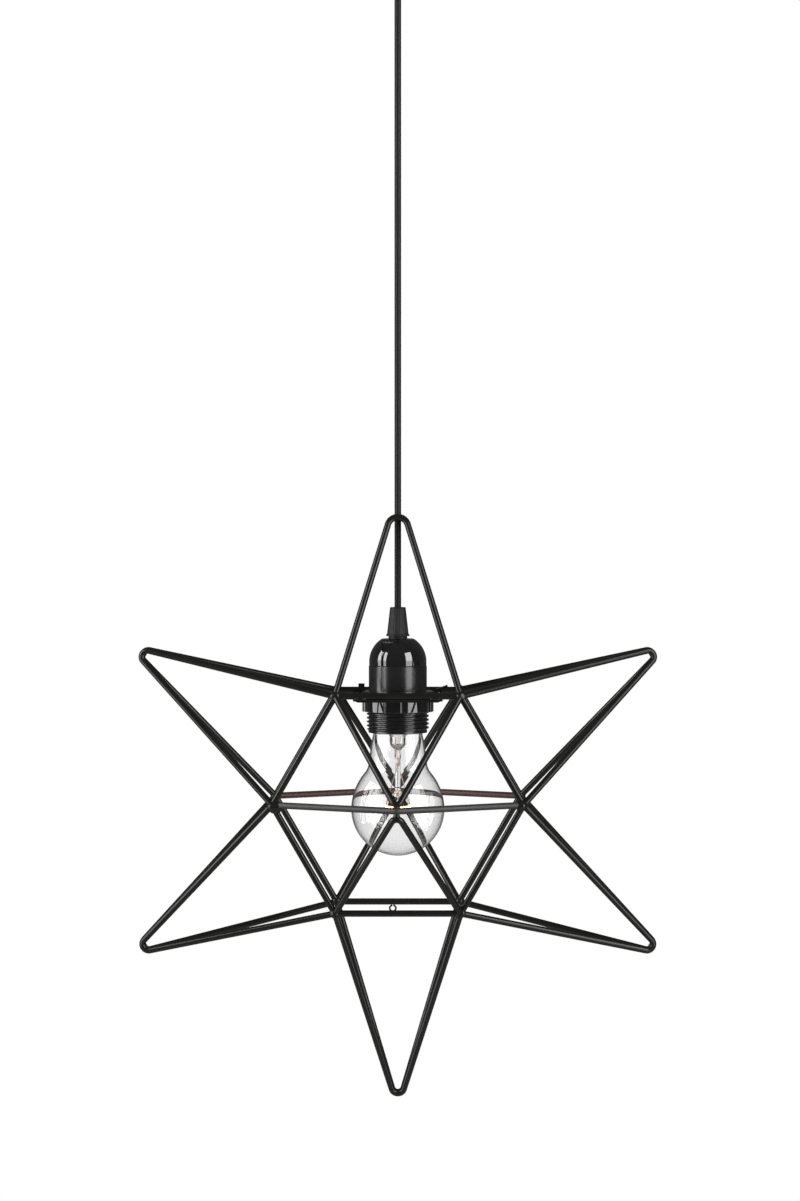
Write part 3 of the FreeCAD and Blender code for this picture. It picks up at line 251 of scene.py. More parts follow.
def finish_of(name, dark, light, rough, cloud=60.0, fine=900.0, bump=0.0, dust=0.0, metallic=0.0, **sockets):
    """Finish clouded between two colours and between two roughnesses, with bump in metres, and dust."""
    material = bpy.data.materials.new(name)
    material.use_nodes = True
    nodes = material.node_tree.nodes
    links = material.node_tree.links
    shader = nodes["Principled BSDF"]
    shader.inputs["Metallic"].default_value = metallic
    for socket, number in sockets.items():
        shader.inputs[socket.replace("_", " ")].default_value = number
    grain = nodes.new("ShaderNodeGroup")
    grain.node_tree = GRAIN
    grain.inputs["Cloud Scale"].default_value = cloud
    grain.inputs["Fine Scale"].default_value = fine
    grain.inputs["Low"].default_value = rough[0]
    grain.inputs["High"].default_value = rough[1]
    links.new(grain.outputs["Value"], shader.inputs["Roughness"])
    shade = nodes.new("ShaderNodeGroup")
    shade.node_tree = GRAIN
    shade.inputs["Cloud Scale"].default_value = cloud * 0.6
    shade.inputs["Fine Scale"].default_value = fine * 0.7
    shade.inputs["Low"].default_value = 0.0
    shade.inputs["High"].default_value = 1.0
    tone = nodes.new("ShaderNodeMix")
    tone.data_type = "RGBA"
    tone.inputs[6].default_value = (*dark, 1)
    tone.inputs[7].default_value = (*light, 1)
    links.new(shade.outputs["Value"], tone.inputs[0])
    colour = tone.outputs[2]
    if dust:
        film = nodes.new("ShaderNodeGroup")
        film.node_tree = DUST
        film.inputs["Amount"].default_value = dust
        settle = nodes.new("ShaderNodeMix")
        settle.data_type = "RGBA"
        settle.inputs[7].default_value = (0.35, 0.34, 0.32, 1)
        links.new(film.outputs["Mask"], settle.inputs[0])
        links.new(colour, settle.inputs[6])
        colour = settle.outputs[2]
    links.new(colour, shader.inputs["Base Color"])
    if bump:
        relief = nodes.new("ShaderNodeBump")
        relief.inputs["Distance"].default_value = bump
        relief.inputs["Strength"].default_value = 1.0
        links.new(grain.outputs["Height"], relief.inputs["Height"])
        links.new(relief.outputs["Normal"], shader.inputs["Normal"])
    return material


cord_sheath = finish_of("cord_sheath", (0.0085, 0.0085, 0.0085), (0.0115, 0.0115, 0.0115), (0.42, 0.52),
                        cloud=40.0, fine=1600.0, bump=0.000003, dust=0.006, Specular_IOR_Level=0.22)
line = bpy.data.curves.new("cord_line", "CURVE")
line.dimensions = "3D"
line.bevel_depth = CORD_DIAMETER / 2
line.bevel_resolution = 8
line.resolution_u = 12
line.use_fill_caps = True
run = line.splines.new("NURBS")
levels = (gland_high.z, seat_level + LOW_GUIDE_OVER_SEAT, CORD_TOP - HIGH_GUIDE_UNDER_TOP, CORD_TOP)
run.points.add(len(levels) - 1)
for point, level in zip(run.points, levels):
    point.co = (0, 0, level, 1)
run.order_u = 3
run.use_endpoint_u = True
cord = bpy.data.objects.new("mains_cord", line)
scene.collection.objects.link(cord)
cord.data.materials.append(cord_sheath)
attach(cord, "fitting")
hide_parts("cord")


# ------------------------------------------------------------------------------------- ceiling fitting
# A plain pressed cup, powder coated black, hangs against the ceiling on its cord grip. Inside it a zinc
# plated strap takes the ceiling screws and carries the cord's anchor and the terminal block.
CUP_RADIUS = 0.050
CUP_HEIGHT = 0.060
CUP_WALL = 0.001
CUP_CORNER = 0.006
GRIP_RADIUS = 0.0065
GRIP_DROP = 0.008
GRIP_RISE = 0.009
GRIP_SHANK = 0.005
GRIP_CHAMFER = 0.0012
GRIP_FIT = 0.0001
CORD_BORE = 0.00225


def rounded(corners, cuts, steps=7, closed=True):
    """Outline through corners, each replaced by a parabola from its cut before it to its cut after it."""
    corners = np.asarray(corners, float)
    cuts = np.broadcast_to(np.asarray(cuts, float), len(corners))[:, None, None]
    back = np.roll(corners, 1, 0) - corners
    ahead = np.roll(corners, -1, 0) - corners
    lengths = (np.linalg.norm(back, axis=1), np.linalg.norm(ahead, axis=1))
    start = (back / lengths[0][:, None])[:, None, :] * cuts
    end = (ahead / lengths[1][:, None])[:, None, :] * cuts
    t = np.linspace(0, 1, steps)[None, :, None]
    points = corners[:, None, :] + start * (1 - t) ** 2 + end * t ** 2
    if not closed:
        return np.vstack([corners[:1], points[1:-1].reshape(-1, corners.shape[1]), corners[-1:]])
    return points.reshape(-1, corners.shape[1])


def surface(name, grid, around=True, along=True, crease=35.0):
    """Mesh of a grid of points (rows, columns, 3), closed around its columns and along its rows as asked."""
    rows, columns = grid.shape[:2]
    row = np.arange(rows if along else rows - 1)
    column = np.arange(columns if around else columns - 1)
    r, c = (part.ravel() for part in np.meshgrid(row, column, indexing="ij"))
    nr = (r + 1) % rows
    nc = (c + 1) % columns
    faces = np.stack([r * columns + c, r * columns + nc, nr * columns + nc, nr * columns + c], 1)
    mesh = bpy.data.meshes.new(name)
    mesh.from_pydata(grid.reshape(-1, 3).tolist(), [], faces.tolist())
    work = bmesh.new()
    work.from_mesh(mesh)
    bmesh.ops.remove_doubles(work, verts=work.verts, dist=2e-7)
    bmesh.ops.dissolve_degenerate(work, edges=work.edges, dist=1e-8)
    bmesh.ops.recalc_face_normals(work, faces=work.faces)
    work.to_mesh(mesh)
    work.free()
    mesh.polygons.foreach_set("use_smooth", np.ones(len(mesh.polygons), bool))
    mesh.set_sharp_from_angle(angle=radians(crease))
    piece = bpy.data.objects.new(name, mesh)
    scene.collection.objects.link(piece)
    return piece


def lathe(name, outline, level=0.0, sides=96, centre=(0.0, 0.0), **options):
    """Outline of (radius, height) points turned about a vertical axis: a circle for each point."""
    outline = np.asarray(outline, float)
    turn = np.linspace(0, tau, sides, endpoint=False)
    radius = outline[:, 0][:, None]
    x = centre[0] + radius * np.cos(turn)
    y = centre[1] + radius * np.sin(turn)
    z = np.broadcast_to(level + outline[:, 1][:, None], x.shape)
    return surface(name, np.stack([x, y, z], 2), **options)


def dress(piece, material, body, slot, *nodes):
    """Give a new piece its finish, the body that it moves with, and the solids that it stands for."""
    piece.data.materials.append(material)
    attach(piece, body)
    if nodes:
        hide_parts(*nodes)
    return piece


def paint_node(name, material):
    """Give a carried-over solid its finish."""
    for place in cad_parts[name].material_slots:
        place.material = material


powder_coat = finish_of("powder_coat", (0.0075, 0.0074, 0.0069), (0.0105, 0.0104, 0.0097), (0.19, 0.24),
                        cloud=70.0, fine=1100.0, bump=0.0000006, dust=0.004, Specular_IOR_Level=0.32)
zinc_plate = finish_of("zinc_plate", (0.48, 0.49, 0.50), (0.66, 0.67, 0.68), (0.22, 0.40),
                       cloud=120.0, fine=2200.0, bump=0.00001, metallic=1.0)
dark_moulding = finish_of("dark_moulding", (0.05, 0.05, 0.05), (0.07, 0.07, 0.068), (0.45, 0.6),
                          cloud=150.0, fine=2600.0, bump=0.00003)
pale_moulding = finish_of("pale_moulding", (0.70, 0.69, 0.65), (0.80, 0.79, 0.76), (0.35, 0.5),
                          cloud=150.0, fine=2000.0, bump=0.00002)
core_sheath = finish_of("core_sheath", (0.16, 0.07, 0.03), (0.22, 0.10, 0.045), (0.35, 0.45), fine=2500.0)
matt_moulding = finish_of("matt_moulding", (0.014, 0.014, 0.0137), (0.020, 0.020, 0.0195), (0.46, 0.58),
                          cloud=200.0, fine=2600.0, bump=0.00002, dust=0.02, Specular_IOR_Level=0.3)

cup_outline = rounded([
    (GRIP_SHANK + GRIP_FIT, -CUP_HEIGHT), (CUP_RADIUS, -CUP_HEIGHT), (CUP_RADIUS, 0),
    (CUP_RADIUS - CUP_WALL, 0), (CUP_RADIUS - CUP_WALL, -CUP_HEIGHT + CUP_WALL),
    (GRIP_SHANK + GRIP_FIT, -CUP_HEIGHT + CUP_WALL)],
    [0.0002, CUP_CORNER, 0.0003, 0.0003, CUP_CORNER - CUP_WALL, 0.0002], steps=12)
dress(lathe("cup_shell", cup_outline, sides=144), powder_coat, "cup", "black_paint", "ceiling_cup")

grip_outline = rounded([
    (CORD_BORE, -GRIP_DROP), (GRIP_RADIUS - GRIP_CHAMFER, -GRIP_DROP),
    (GRIP_RADIUS, -GRIP_DROP + GRIP_CHAMFER), (GRIP_RADIUS, 0), (GRIP_SHANK, 0),
    (GRIP_SHANK, GRIP_RISE), (CORD_BORE, GRIP_RISE)],
    [0.0002, 0.0004, 0.0004, 0.0003, 0.0001, 0.0004, 0.0002])
dress(lathe("grip_body", grip_outline, level=-CUP_HEIGHT, sides=72), matt_moulding,
      "cup", "matte_black", "cord_grip")
for name, material in (("ceiling_strap", zinc_plate), ("anchor_screws", zinc_plate), ("grip_nut", zinc_plate),
                       ("grip_screw", zinc_plate), ("cord_anchor", dark_moulding),
                       ("terminal_block", pale_moulding), ("ceiling_cores", core_sheath)):
    paint_node(name, material)


# --------------------------------------------------------------------------------------------- gland
# Cord grip of matt black nylon: a tapered nut with fine flutes and a thin rim is screwed over the collet
# of a body, whose shank goes through the cap and is held inside it by a lock nut.
GLAND_TOP_RADIUS = 0.0051
GLAND_FOOT_RADIUS = 0.0069
GLAND_RIM_RADIUS = 0.00755
GLAND_RIM = 0.001
GLAND_TAPER = 0.0175
GLAND_LIP = 0.0018
GLAND_COLLET = 0.0042
GLAND_FIT = 0.0001
FLUTES = 24
FLUTE_DEPTH = 0.00012
FLUTES_BELOW_TOP = 0.0006
FLUTES_ABOVE_FOOT = 0.0008
CORNER_STEPS = 7

nut_foot = gland_high.z - GLAND_TAPER
nut_outline = rounded([
    (CORD_BORE, gland_high.z), (GLAND_TOP_RADIUS, gland_high.z), (GLAND_FOOT_RADIUS, nut_foot + 0.0004),
    (GLAND_RIM_RADIUS, nut_foot), (GLAND_RIM_RADIUS, nut_foot - GLAND_RIM),
    (GLAND_COLLET + GLAND_FIT, nut_foot - GLAND_RIM), (GLAND_COLLET + GLAND_FIT, gland_high.z - GLAND_LIP),
    (CORD_BORE, gland_high.z - GLAND_LIP)],
    [0.0003, 0.0005, 0.0002, 0.0002, 0.0002, 0.0001, 0.0002, 0.0001], steps=CORNER_STEPS)
# After the top's two corners the taper is cut into short rows, and each row's radius dips in every flute.
turn = np.linspace(0, tau, FLUTES * 10, endpoint=False)
rise = np.linspace(0.0, 1.0, 26)
fluted_length = GLAND_TAPER - FLUTES_BELOW_TOP - FLUTES_ABOVE_FOOT
taper_rows = np.stack([GLAND_TOP_RADIUS + (GLAND_FOOT_RADIUS - GLAND_TOP_RADIUS) * rise,
                       gland_high.z - FLUTES_BELOW_TOP - fluted_length * rise], 1)
first = 2 * CORNER_STEPS
nut_outline = np.vstack([nut_outline[:first], taper_rows, nut_outline[first:]])
fluted = np.zeros(len(nut_outline))
fluted[first + 1:first + len(rise) - 2] = 1.0
radius = nut_outline[:, :1] - FLUTE_DEPTH * fluted[:, None] * (0.5 - 0.5 * np.cos(FLUTES * turn)) ** 2
grid = np.stack([radius * np.cos(turn), radius * np.sin(turn),
                 np.broadcast_to(nut_outline[:, 1:], radius.shape)], 2)
dress(surface("gland_taper", grid), matt_moulding, "fitting", "matte_black", "gland_nut")

NECK_RADIUS = 0.00605
SHANK_RADIUS = 0.005
SHANK_LENGTH = 0.0054
COLLET_DROP = 0.0036
CAP_RISE = 0.0371
cap_level = seat_level + CAP_RISE
body_outline = rounded([
    (CORD_BORE, cap_level - SHANK_LENGTH), (SHANK_RADIUS, cap_level - SHANK_LENGTH),
    (SHANK_RADIUS, cap_level), (NECK_RADIUS, cap_level),
    (NECK_RADIUS, nut_foot - GLAND_RIM), (GLAND_COLLET, nut_foot - GLAND_RIM),
    (GLAND_COLLET, gland_high.z - COLLET_DROP), (CORD_BORE, gland_high.z - COLLET_DROP)],
    [0.0002, 0.0003, 0.0001, 0.0003, 0.0003, 0.0001, 0.0003, 0.0001])
dress(lathe("gland_neck", body_outline, sides=72), matt_moulding, "fitting", "matte_black", "gland_body")
paint_node("gland_locknut", zinc_plate)


# --------------------------------------------------------------------------------- cap of the holder
# Domed cap of polished black thermoset, screwed on the skirt with a fine seam. At the front left it has a
# small triangular pocket for the release tool, and a hairline slit runs down from it to the seam.
CAP_TOP_RADIUS = 0.0104
CAP_RADIUS = 0.01845
CAP_SHOULDER = 0.0227
CAP_ARC = 0.0174
CAP_WALL = 0.0018
CAP_HOLE = 0.0051
SPIGOT_RADIUS = 0.0171
SPIGOT_BORE = 0.0155
SPIGOT_FOOT = 0.0102
SEAM = 0.0001
SKIRT_RISE = 0.0199
RELEASE = -pi / 2 - radians(34)
SLIT_WIDTH = 0.001
CAP_SLIT_FACE = 0.0172
POCKET_FOOT = 0.0287
POCKET_FACE = 0.0164
POCKET_TILT = radians(35.5)
POCKET_HEIGHT = 0.0081
POCKET_WIDTH = 0.0086
EDGE_EASE = 0.00012

polished_black = finish_of("polished_black", (0.0055, 0.0055, 0.0055), (0.008, 0.008, 0.008), (0.05, 0.10),
                           cloud=90.0, fine=500.0, bump=0.000006, dust=0.02, Coat_Weight=1.0,
                           Coat_Roughness=0.04, IOR=1.6)
satin_black = finish_of("satin_black", (0.0075, 0.0075, 0.0075), (0.011, 0.011, 0.011), (0.20, 0.27),
                        cloud=110.0, fine=1500.0, bump=0.000012, dust=0.02, Coat_Weight=0.35,
                        Coat_Roughness=0.14, IOR=1.58)


def arc(centre, radius, first, last, steps):
    """Points of a circle's arc from one angle to another."""
    angle = np.linspace(first, last, steps)
    return np.stack([centre[0] + radius * np.cos(angle), centre[1] + radius * np.sin(angle)], 1)


def arc_between(start, end, radius, steps):
    """Arc clockwise from start to end, with its centre on the right of the middle of the chord."""
    half = (np.asarray(end, float) - start) / 2
    reach = hypot(*half)
    centre = start + half + np.array([half[1], -half[0]]) / reach * sqrt(radius ** 2 - reach ** 2)
    first = atan2(*(start - centre)[::-1])
    last = atan2(*(end - centre)[::-1])
    return arc(centre, radius, first, last, steps)


def turn_with_detail(half_angle, fine, coarse):
    """Angles of a full turn, close together within half_angle of the release and wider apart elsewhere."""
    return np.concatenate([np.linspace(RELEASE - half_angle, RELEASE + half_angle, fine),
                           np.linspace(RELEASE + half_angle, RELEASE - half_angle + tau, coarse)[1:-1]])


def cut_slit(radius, turn, rows, face):
    """Radius pushed in to a flat face, square to the release's direction, within half a slit's width of it.

    The side that faces away is counted as a metre off, so nothing is cut there.
    """
    off = (turn - RELEASE)[None, :]
    aside = np.abs(radius * np.sin(off)) + 1.0 * (np.cos(off) < 0)
    inside = np.clip((SLIT_WIDTH / 2 - aside) / EDGE_EASE, 0, 1) * rows
    return radius - inside * np.maximum(radius - face / np.maximum(np.cos(off), 0.5), 0)


dome = arc_between((CAP_TOP_RADIUS, CAP_RISE), (CAP_RADIUS, CAP_SHOULDER), CAP_ARC, 130)
side = np.stack([np.full(16, CAP_RADIUS), np.linspace(CAP_SHOULDER, SKIRT_RISE + 0.0004, 17)[1:]], 1)
lip = np.array([(CAP_RADIUS - 0.0001, SKIRT_RISE + 0.0002), (CAP_RADIUS - 0.0003, SKIRT_RISE + SEAM),
                (SPIGOT_RADIUS, SKIRT_RISE + SEAM), (SPIGOT_RADIUS, SPIGOT_FOOT), (SPIGOT_BORE, SPIGOT_FOOT)])
inner = arc_between((CAP_TOP_RADIUS, CAP_RISE - CAP_WALL), (SPIGOT_BORE, CAP_SHOULDER),
                    CAP_ARC - CAP_WALL, 24)[::-1]
crown = np.array([(CAP_HOLE, CAP_RISE - CAP_WALL), (CAP_HOLE, CAP_RISE - 0.0002),
                  (CAP_HOLE + 0.0002, CAP_RISE), (CAP_TOP_RADIUS - 0.0003, CAP_RISE)])
cap_outline = np.vstack([crown, dome, side, lip, inner])
turn = turn_with_detail(radians(17), 110, 130)
radius = np.repeat(cap_outline[:, :1], len(turn), 1)
height = np.repeat(cap_outline[:, 1:], len(turn), 1)
outside = np.zeros((len(cap_outline), 1))
outside[len(crown):len(crown) + len(dome) + len(side) + 2] = 1.0
# The pocket is a flat triangle, apex down, tipped back from the side. A point's place along the triangle and
# how far it stands proud of its plane are worked out, and what is proud inside the triangle is sunk to it.
out_way = radius * np.cos(turn - RELEASE) - POCKET_FACE
up_way = height - POCKET_FOOT
along = up_way * cos(POCKET_TILT) - out_way * sin(POCKET_TILT)
proud = up_way * sin(POCKET_TILT) + out_way * cos(POCKET_TILT)
half_width = SLIT_WIDTH / 2 + (POCKET_WIDTH - SLIT_WIDTH) / 2 * along / POCKET_HEIGHT
depth_inside = np.minimum(np.minimum(along, POCKET_HEIGHT - along),
                          0.9 * (half_width - np.abs(radius * np.sin(turn - RELEASE))))
sunk = np.clip(depth_inside / EDGE_EASE, 0, 1) * np.maximum(proud, 0) * outside
below = outside * (height < POCKET_FOOT + 0.0003)
radius = cut_slit(radius, turn, below, CAP_SLIT_FACE)
x = radius * np.cos(turn) - sunk * cos(POCKET_TILT) * cos(RELEASE)
y = radius * np.sin(turn) - sunk * cos(POCKET_TILT) * sin(RELEASE)
grid = np.stack([x, y, seat_level + height - sunk * sin(POCKET_TILT)], 2)
dress(surface("cap_dome", grid, crease=40), polished_black, "fitting", "gloss_black", "holder_cap")


# ------------------------------------------------------------------------------- skirt of the holder
# The skirt holds the contacts. Its flange sits on the socket plate, and below it runs the coarse outer
# thread for the shade ring, down to a plain rim. The slit of the cap goes on down its front left.
SKIRT_RADIUS = 0.0187
SLIT_FOOT = 0.0045
FLANGE_RADIUS = 0.0231
FLANGE_HEIGHT = 0.0035
THREAD_CREST = 0.0200
THREAD_ROOT = 0.0187
THREAD_PITCH = 0.0025
THREAD_LENGTH = 0.0218
RIM_RADIUS = 0.01895
SKIRT_DROP = 0.0233
MOUTH_RADIUS = 0.0164
INSIDE_RADIUS = 0.0172
INSIDE_FOOT = 0.006

ROWS_PER_TURN = 16
thread_rows = int(ROWS_PER_TURN * (THREAD_LENGTH - 0.0006) / THREAD_PITCH)
stem_levels = np.linspace(SKIRT_RISE - 0.0003, FLANGE_HEIGHT + 0.0004, 60)
stem_side = np.stack([np.full(60, SKIRT_RADIUS), stem_levels], 1)
flange = rounded([(SKIRT_RADIUS, FLANGE_HEIGHT), (FLANGE_RADIUS, FLANGE_HEIGHT), (FLANGE_RADIUS, 0),
                  (THREAD_CREST - 0.0012, 0)], [0.0003, 0.0009, 0.0003, 0.0001], closed=False)[1:]
screw = np.stack([np.full(thread_rows, THREAD_CREST), np.linspace(-0.0006, -THREAD_LENGTH, thread_rows)], 1)
foot = rounded([(RIM_RADIUS, -THREAD_LENGTH - 0.0002), (RIM_RADIUS, -SKIRT_DROP), (MOUTH_RADIUS, -SKIRT_DROP),
                (MOUTH_RADIUS, -SKIRT_DROP + 0.004)], [0.0001, 0.0005, 0.0004, 0.0001], closed=False)
bore = np.array([(MOUTH_RADIUS, INSIDE_FOOT), (INSIDE_RADIUS, INSIDE_FOOT), (INSIDE_RADIUS, SKIRT_RISE)])
skirt_outline = np.vstack([[(SKIRT_RADIUS - 0.0003, SKIRT_RISE)], stem_side, flange, screw, foot, bore])
turn = turn_with_detail(radians(4), 60, 200)
radius = np.repeat(skirt_outline[:, :1], len(turn), 1)
height = np.repeat(skirt_outline[:, 1:], len(turn), 1)
first = 1 + len(stem_side) + len(flange)
# Thread: the radius follows a flattened wave of height / pitch less turn / full turn, so it is right-handed.
phase = (height[first:first + thread_rows] / THREAD_PITCH - turn / tau) * tau
wave = np.clip(0.5 + 0.75 * np.cos(phase), 0, 1)
fade = np.clip((height[first:first + thread_rows] + THREAD_LENGTH) / 0.0008, 0, 1)
radius[first:first + thread_rows] = THREAD_ROOT + (THREAD_CREST - THREAD_ROOT) * wave * fade
slit_rows = ((skirt_outline[:, 1] > SLIT_FOOT) & (skirt_outline[:, 0] > SKIRT_RADIUS - 0.0006)).astype(float)
radius = cut_slit(radius, turn, slit_rows[:, None], SKIRT_RADIUS - 0.0005)
grid = np.stack([radius * np.cos(turn), radius * np.sin(turn), seat_level + height], 2)
dress(surface("skirt_shell", grid, crease=60), satin_black, "fitting", "gloss_black", "holder_skirt")


# -------------------------------------------------------------------------------------------- contacts
# Inside the skirt a moulded insert carries the brass screw shell, the centre contact's spring and two
# pillar terminals, in which the cores of the cord are clamped by small steel screws.
brass_strip = finish_of("brass_strip", (0.55, 0.38, 0.14), (0.70, 0.50, 0.20), (0.20, 0.34),
                        cloud=200.0, fine=1800.0, metallic=1.0)
for name, material in (("contact_insert", pale_moulding), ("screw_shell", brass_strip),
                       ("centre_contact", brass_strip), ("terminal_pillars", brass_strip),
                       ("terminal_screws", zinc_plate), ("holder_cores", core_sheath)):
    paint_node(name, material)


# ------------------------------------------------------------------------------------------ shade ring
# Threaded ring of the same polished black, with six broad grip lobes. It is screwed up the skirt until
# it clamps the socket plate against the flange.
RING_BORE = 0.02015
RING_ROOT = 0.0218
RING_LOBE = 0.0230
RING_TOP = -0.0013
RING_HEIGHT = 0.0084
LOBES = 6
LOBE_ANGLE = radians(33)
LOBE_TURN = radians(22)
LOBE_FLANK = radians(2.2)

ring_outline = rounded([
    (RING_BORE, RING_TOP), (RING_LOBE, RING_TOP), (RING_LOBE, RING_TOP - RING_HEIGHT),
    (RING_BORE, RING_TOP - RING_HEIGHT)], [0.0002, 0.0006, 0.0006, 0.0002], steps=9)
turn = np.linspace(0, tau, 720, endpoint=False)
sector = tau / LOBES
off_lobe = np.abs((turn - (-pi / 2 + LOBE_TURN) + sector / 2) % sector - sector / 2)
lobe = np.clip((LOBE_ANGLE / 2 + LOBE_FLANK / 2 - off_lobe) / LOBE_FLANK, 0, 1)
lobe = lobe * lobe * (3 - 2 * lobe)
reach = (ring_outline[:, :1] - RING_BORE) / (RING_LOBE - RING_BORE)
radius = RING_BORE + reach * (RING_ROOT - RING_BORE + (RING_LOBE - RING_ROOT) * lobe)
grid = np.stack([radius * np.cos(turn), radius * np.sin(turn),
                 np.broadcast_to(seat_level + ring_outline[:, 1:], radius.shape)], 2)
dress(surface("grip_ring", grid, crease=45), polished_black, "ring", "gloss_black", "shade_ring")


# ------------------------------------------------------------------------------------------------ bulb
# Clear blown bulb of the standard pear shape, lit. A thin glass envelope sits in a threaded metal cap;
# inside, a glass stem and rod carry the leads, and fine supports hold the glowing coil in an open arc.
TIP = seat_level + 0.0037
CAP_FOOT = -0.026
BULB_RADIUS = 0.030
GLOBE_LEVEL = -0.0765
GLASS_WALL = 0.0008
THROAT_RADIUS = 0.0153
NECK_RADIUS_TOP = 0.0172
NECK_DROP = 0.034
NECK_TAPER = radians(7)
NECK_EASE = 0.0012
HOLLOW_RADIUS = 0.012
SHOULDER_RADIUS = 0.036
CLEAR = (0.955, 0.957, 0.955, 1)
# The edge colours below are painted shade for glass seen edge on; the stem's is much darker.
PAINTED_EDGE_SHADE = (0.74, 0.75, 0.75, 1)
PAINTED_STEM_EDGE_SHADE = (0.10, 0.085, 0.08, 1)
BUTTON_TINT = (0.93, 0.84, 0.66, 1)


def bulb_outline(inset):
    """Throat, tapered neck, hollow curve, shoulder and globe, each tangent to the next, inset by a wall."""
    globe = BULB_RADIUS - inset
    shoulder = SHOULDER_RADIUS - inset
    hollow = HOLLOW_RADIUS + inset
    neck = np.array([NECK_RADIUS_TOP - inset, -NECK_DROP])
    down = np.array([sin(NECK_TAPER), -cos(NECK_TAPER)])
    outward = np.array([cos(NECK_TAPER), sin(NECK_TAPER)])
    inner_centre = np.array([globe - shoulder, GLOBE_LEVEL])
    start = neck + outward * hollow
    offset = start - inner_centre
    along = offset @ down
    travel = -along - sqrt(along ** 2 - offset @ offset + (shoulder + hollow) ** 2)
    outer_centre = start + down * travel
    foot_point = neck + down * travel
    lean = atan2(*(outer_centre - inner_centre)[::-1])
    return np.vstack([
        rounded([(THROAT_RADIUS - inset, CAP_FOOT), tuple(neck), tuple(foot_point)], NECK_EASE, closed=False),
        arc(outer_centre, hollow, pi + NECK_TAPER, pi + lean, 24)[1:],
        arc(inner_centre, shoulder, lean, 0, 30)[1:],
        arc((0, GLOBE_LEVEL), globe, 0, -pi / 2, 50)[1:]])


clear_glass = bpy.data.materials.new("clear_glass")
clear_glass.use_nodes = True
tree = clear_glass.node_tree
shader = tree.nodes["Principled BSDF"]
shader.inputs["Transmission Weight"].default_value = 1.0
shader.inputs["IOR"].default_value = 1.5
shader.inputs["Roughness"].default_value = 0.0
# Where the wall is seen edge on, its colour is darkened: painted shade for the dark surroundings that real
# glass shows in its edges.
edge_on = tree.nodes.new("ShaderNodeLayerWeight")
edge_on.inputs["Blend"].default_value = 0.5
steep = tree.nodes.new("ShaderNodeMapRange")
steep.inputs["From Min"].default_value = 0.78
steep.inputs["From Max"].default_value = 0.97
tree.links.new(edge_on.outputs["Facing"], steep.inputs["Value"])
tint = tree.nodes.new("ShaderNodeMix")
tint.data_type = "RGBA"
tint.inputs[6].default_value = CLEAR
tint.inputs[7].default_value = PAINTED_EDGE_SHADE
tree.links.new(steep.outputs["Result"], tint.inputs[0])
tree.links.new(tint.outputs[2], shader.inputs["Base Color"])
rays = tree.nodes.new("ShaderNodeLightPath")
open_way = tree.nodes.new("ShaderNodeBsdfTransparent")
mix = tree.nodes.new("ShaderNodeMixShader")
tree.links.new(rays.outputs["Is Shadow Ray"], mix.inputs[0])
tree.links.new(shader.outputs[0], mix.inputs[1])
tree.links.new(open_way.outputs[0], mix.inputs[2])
tree.links.new(mix.outputs[0], tree.nodes["Material Output"].inputs["Surface"])

envelope = np.vstack([bulb_outline(0.0), bulb_outline(GLASS_WALL)[::-1]])
envelope[np.abs(envelope[:, 0]) < 1e-9, 0] = 0.0
dress(lathe("bulb_envelope", envelope, level=TIP, sides=240), clear_glass,
      "bulb", "clear_glass", "bulb_glass")

LAMP_CAP_RADIUS = 0.0132
LAMP_CAP_WALL = 0.0004
LAMP_THREAD_DEPTH = 0.0009
LAMP_PITCH = 0.0036
LAMP_CAP_FLOOR = -0.0040
LAMP_CAP_TOP = -0.0055
LAMP_THREAD_FADE = 0.002
LAMP_COLLAR = 0.004
cap_metal = finish_of("cap_metal", (0.55, 0.54, 0.51), (0.68, 0.67, 0.64), (0.22, 0.36),
                      cloud=160.0, fine=1400.0, bump=0.000008, metallic=1.0)
cap_rows = 72
level_rows = np.linspace(LAMP_CAP_TOP, CAP_FOOT + 0.0001, cap_rows)
cap_side = np.stack([np.full(cap_rows, LAMP_CAP_RADIUS), level_rows], 1)
cap_edge = [(LAMP_CAP_RADIUS - 0.0034, LAMP_CAP_FLOOR), (LAMP_CAP_RADIUS - 0.0030, LAMP_CAP_FLOOR)]
cap_profile = np.vstack([cap_edge, cap_side, cap_side[::-1] - (LAMP_CAP_WALL, 0)])
turn = np.linspace(0, tau, 144, endpoint=False)
radius = np.repeat(cap_profile[:, :1], len(turn), 1)
# Round thread: the radius follows a plain wave of height / pitch less turn / full turn, faded at both ends.
rows = len(cap_edge) + np.arange(cap_rows)
top_fade = np.clip((LAMP_CAP_TOP - level_rows) / LAMP_THREAD_FADE, 0, 1)
ends = top_fade * np.clip((level_rows - CAP_FOOT - LAMP_COLLAR) / LAMP_THREAD_FADE, 0, 1)
wave = (0.5 - 0.5 * np.cos((level_rows[:, None] / LAMP_PITCH - turn / tau) * tau)) * ends[:, None]
radius[rows] -= LAMP_THREAD_DEPTH * wave
radius[rows + cap_rows] -= LAMP_THREAD_DEPTH * wave[::-1]
grid = np.stack([radius * np.cos(turn), radius * np.sin(turn),
                 np.broadcast_to(TIP + cap_profile[:, 1:], radius.shape)], 2)
dress(surface("lamp_cap_shell", grid, crease=50), cap_metal, "bulb", "lamp_cap_metal", "bulb_cap")
paint_node("cap_insulator", polished_black)
paint_node("cap_contact", cap_metal)

STEM_RADIUS = 0.0051
STEM_WALL = 0.0011
BOWL_DROP = 0.0377
PRESS_RADIUS = 0.0021
PRESS_DROP = 0.0436
FLARE_RADIUS = 0.0144
FLARE_THROAT = 0.0075
FLARE_DROP = 0.003
